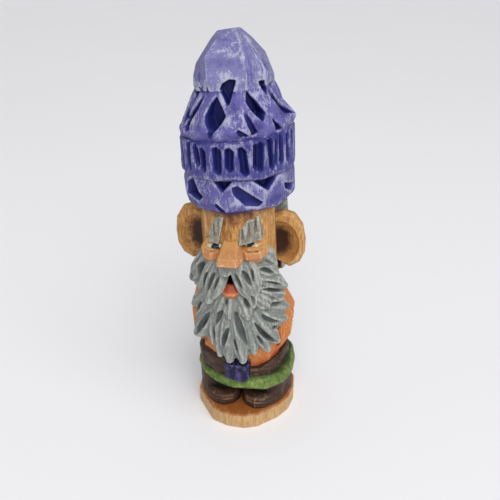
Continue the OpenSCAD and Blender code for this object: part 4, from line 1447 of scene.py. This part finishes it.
def make_tip():
    block = hat_block("hat_tip", 1.4)[1]
    corners = [
        # The rim
        (-80, 13.2, -1), (-48, 13.6, -1.0), (-20, 13.5, -0.6), (10, 13.6, -0.6), (31, 13.9, -0.4),
        (60, 13.5, -0.4), (90, 13.2, -0.4), (130, 12.9, 0), (178, 13.4, -0.6), (-130, 12.9, 0),
        # The widest ring
        (-80, 13.0, 2.6), (-22, 13.6, 3.4), (31, 14.1, 4), (62, 13.3, 4.4), (90, 13.2, 2.4),
        (130, 13.3, 3), (178, 13.8, 3), (-128, 13.4, 3),
        # The shoulder
        (-80, 11.8, 6.3), (-80, 9.0, 9.9), (-26, 12.4, 9.6), (30, 12.9, 9), (62, 9.6, 10.4),
        (90, 10.8, 7.4), (90, 7.2, 11.2), (132, 12.0, 8), (180, 12.4, 8), (-126, 12.0, 8.4),
        # Under the peak, and the peak
        (-78, 6.4, 13.4), (-20, 8.4, 13.6), (30, 9.2, 13.4), (92, 5.2, 14.4), (140, 8.2, 12.6),
        (-150, 8.4, 12.6), (-78, 4.2, 15.7), (30, 4.6, 16.6), (110, 3.0, 16.2), (178, 4.4, 15.6)]
    uncut = hull(block, round_points(raised(corners, TIP_Z)))
    field = cut_pits(block, uncut, CROWN_Z, HIGH_PITS)
    deep = np.minimum(uncut, np.maximum(block.radius - 11.9, np.abs(block.z - TIP_Z) - 4))
    # Long shallow knife lines down the right of the front face, and across its rim
    for line in ([(33, 0), (33, 4), (32, 8.4)], [(54, 0), (57, 4), (60, 8)],
                 [(-70, 3.2), (-50, 1.2), (-34, -0.6)], [(-46, 3.6), (-36, 1), (-28, -0.8)]):
        field = veiner(block, field, on_round(block, uncut, raised(line, TIP_Z)), 0.3)
    # Small notches where the rim meets the crown
    notches = [([(angle - 5, low - 1), (angle + 5, low - 1), (angle + 1, low + 1.8)], 13.8, 1.4, 0.3)
               for angle, low in ((-38, -0.4), (-24, -0.2), (-52, 0), (150, 0), (-110, 0))]
    field = cut_pits(block, field, TIP_Z, notches)
    # Dry-brushing and wash in patches; the bright patch at 62° near the peak is a painted highlight, a glint.
    tint = [(2, 4.4, 14, 1.4, 0.4), (12, 2.6, 12, 1, 0.4), (-20, 0.8, 10, 1.2, 0.4),
            (-4, 10.8, 12, 0.5, 0.5), (14, 9.8, 8, 0.5, 0.5), (62, 13, 10, 1.2, 0.6),
            (56, 8, 4, 1.2, 0.4), (60, 3.6, 4, 1.6, 0.5), (-60, 1, 8, 0.8, 0.4),
            (-42, 3.6, 7, 1.2, -0.5), (0, 7.6, 20, 1.4, -0.3), (37, 6, 4, 5, -0.3),
            (70, 5.6, 6, 1.6, -0.4), (-56, 8, 16, 4, -0.15), (-2, 13.6, 20, 0.7, -0.3)]
    carve("hat_tip", TIP_VIOLET, block, field, HEAD, deep, tint=above(TIP_Z, tint), soft=0.4)


# ---- Carving every piece ----

def both(make):
    """A piece at the figure's left, then the one at its right."""
    make(1)
    make(-1)


make_stand()
both(make_boot)
make_trousers()
make_belt()
make_buckle()
make_shirt()
both(make_sleeve)
make_hands()
make_head()
both(make_ear)
make_nose()
both(make_cheek)
both(make_eye)
both(make_brow)
make_lip()
make_beard()
both(make_whisker)
both(make_moustache)
make_hair()
make_band()
make_cuff()
make_crown()
make_tip()


# ---- Camera, floor and light ----

CAMERA_AZIMUTH = math.radians(11)
CAMERA_PITCH = math.radians(27.5)
CAMERA_ROLL = math.radians(1.2)
CAMERA_DISTANCE = 183.3 * MM
CAMERA_HEIGHT = 165 * MM
CAMERA_SIDE = 2.0 * MM
LENS = 40.4
FLOOR_HALF = 4.0
FLOOR_TONES = ((0.90, 0.895, 0.91, 1), (0.93, 0.925, 0.94, 1))
SKY_COLOUR = (0.96, 0.97, 1.0, 1)
SKY_STRENGTH = 0.43


def add_camera():
    data = bpy.data.cameras.new("camera")
    data.lens = LENS
    data.sensor_width = 36
    data.clip_start = 0.01
    camera = bpy.data.objects.new("camera", data)
    turn = Matrix.Rotation(CAMERA_AZIMUTH, 4, "Z")
    place = turn @ Matrix.Translation((CAMERA_SIDE, -CAMERA_DISTANCE, CAMERA_HEIGHT))
    camera.matrix_world = (place @ Matrix.Rotation(math.pi / 2 - CAMERA_PITCH, 4, "X")
                           @ Matrix.Rotation(-CAMERA_ROLL, 4, "Z"))
    bpy.context.collection.objects.link(camera)
    bpy.context.scene.camera = camera


def add_area_light(name, place, aim, size, power):
    data = bpy.data.lights.new(name, "AREA")
    data.shape = "DISK"
    data.size = size
    data.energy = power
    light = bpy.data.objects.new(name, data)
    light.location = place
    light.rotation_euler = (Vector(aim) - Vector(place)).to_track_quat("-Z", "Y").to_euler()
    bpy.context.collection.objects.link(light)


def add_sun(name, direction, spread, strength):
    data = bpy.data.lights.new(name, "SUN")
    data.angle = math.radians(spread)
    data.energy = strength
    light = bpy.data.objects.new(name, data)
    light.rotation_euler = Vector(direction).to_track_quat("Z", "Y").to_euler()
    bpy.context.collection.objects.link(light)


def add_sky():
    world = bpy.data.worlds.new("world")
    world.use_nodes = True
    sky = world.node_tree.nodes["Background"]
    sky.inputs["Color"].default_value = SKY_COLOUR
    sky.inputs["Strength"].default_value = SKY_STRENGTH
    bpy.context.scene.world = world


def add_floor():
    half = FLOOR_HALF
    mesh = bpy.data.meshes.new("floor")
    mesh.from_pydata([(-half, -half, 0), (half, -half, 0), (half, half, 0), (-half, half, 0)],
                     [], [(0, 1, 2, 3)])
    floor = bpy.data.objects.new("floor", mesh)
    bpy.context.collection.objects.link(floor)
    paper = Paint("floor_paper")
    shade = paper.noise(0.004, 2, 0.5)
    paper.links.new(paper.mix(shade, *FLOOR_TONES), paper.shader.inputs["Base Color"])
    paper.shader.inputs["Roughness"].default_value = 0.8
    mesh.materials.append(paper.material)


add_camera()
add_floor()
add_sun("key", (0.5, -0.7, 0.95), 65, 1.6)
add_area_light("fill", (0.25, -0.6, 0.7), (0, 0, 0.07), 0.6, 2.2)
add_sky()
bpy.context.scene.view_settings.view_transform = "Standard"
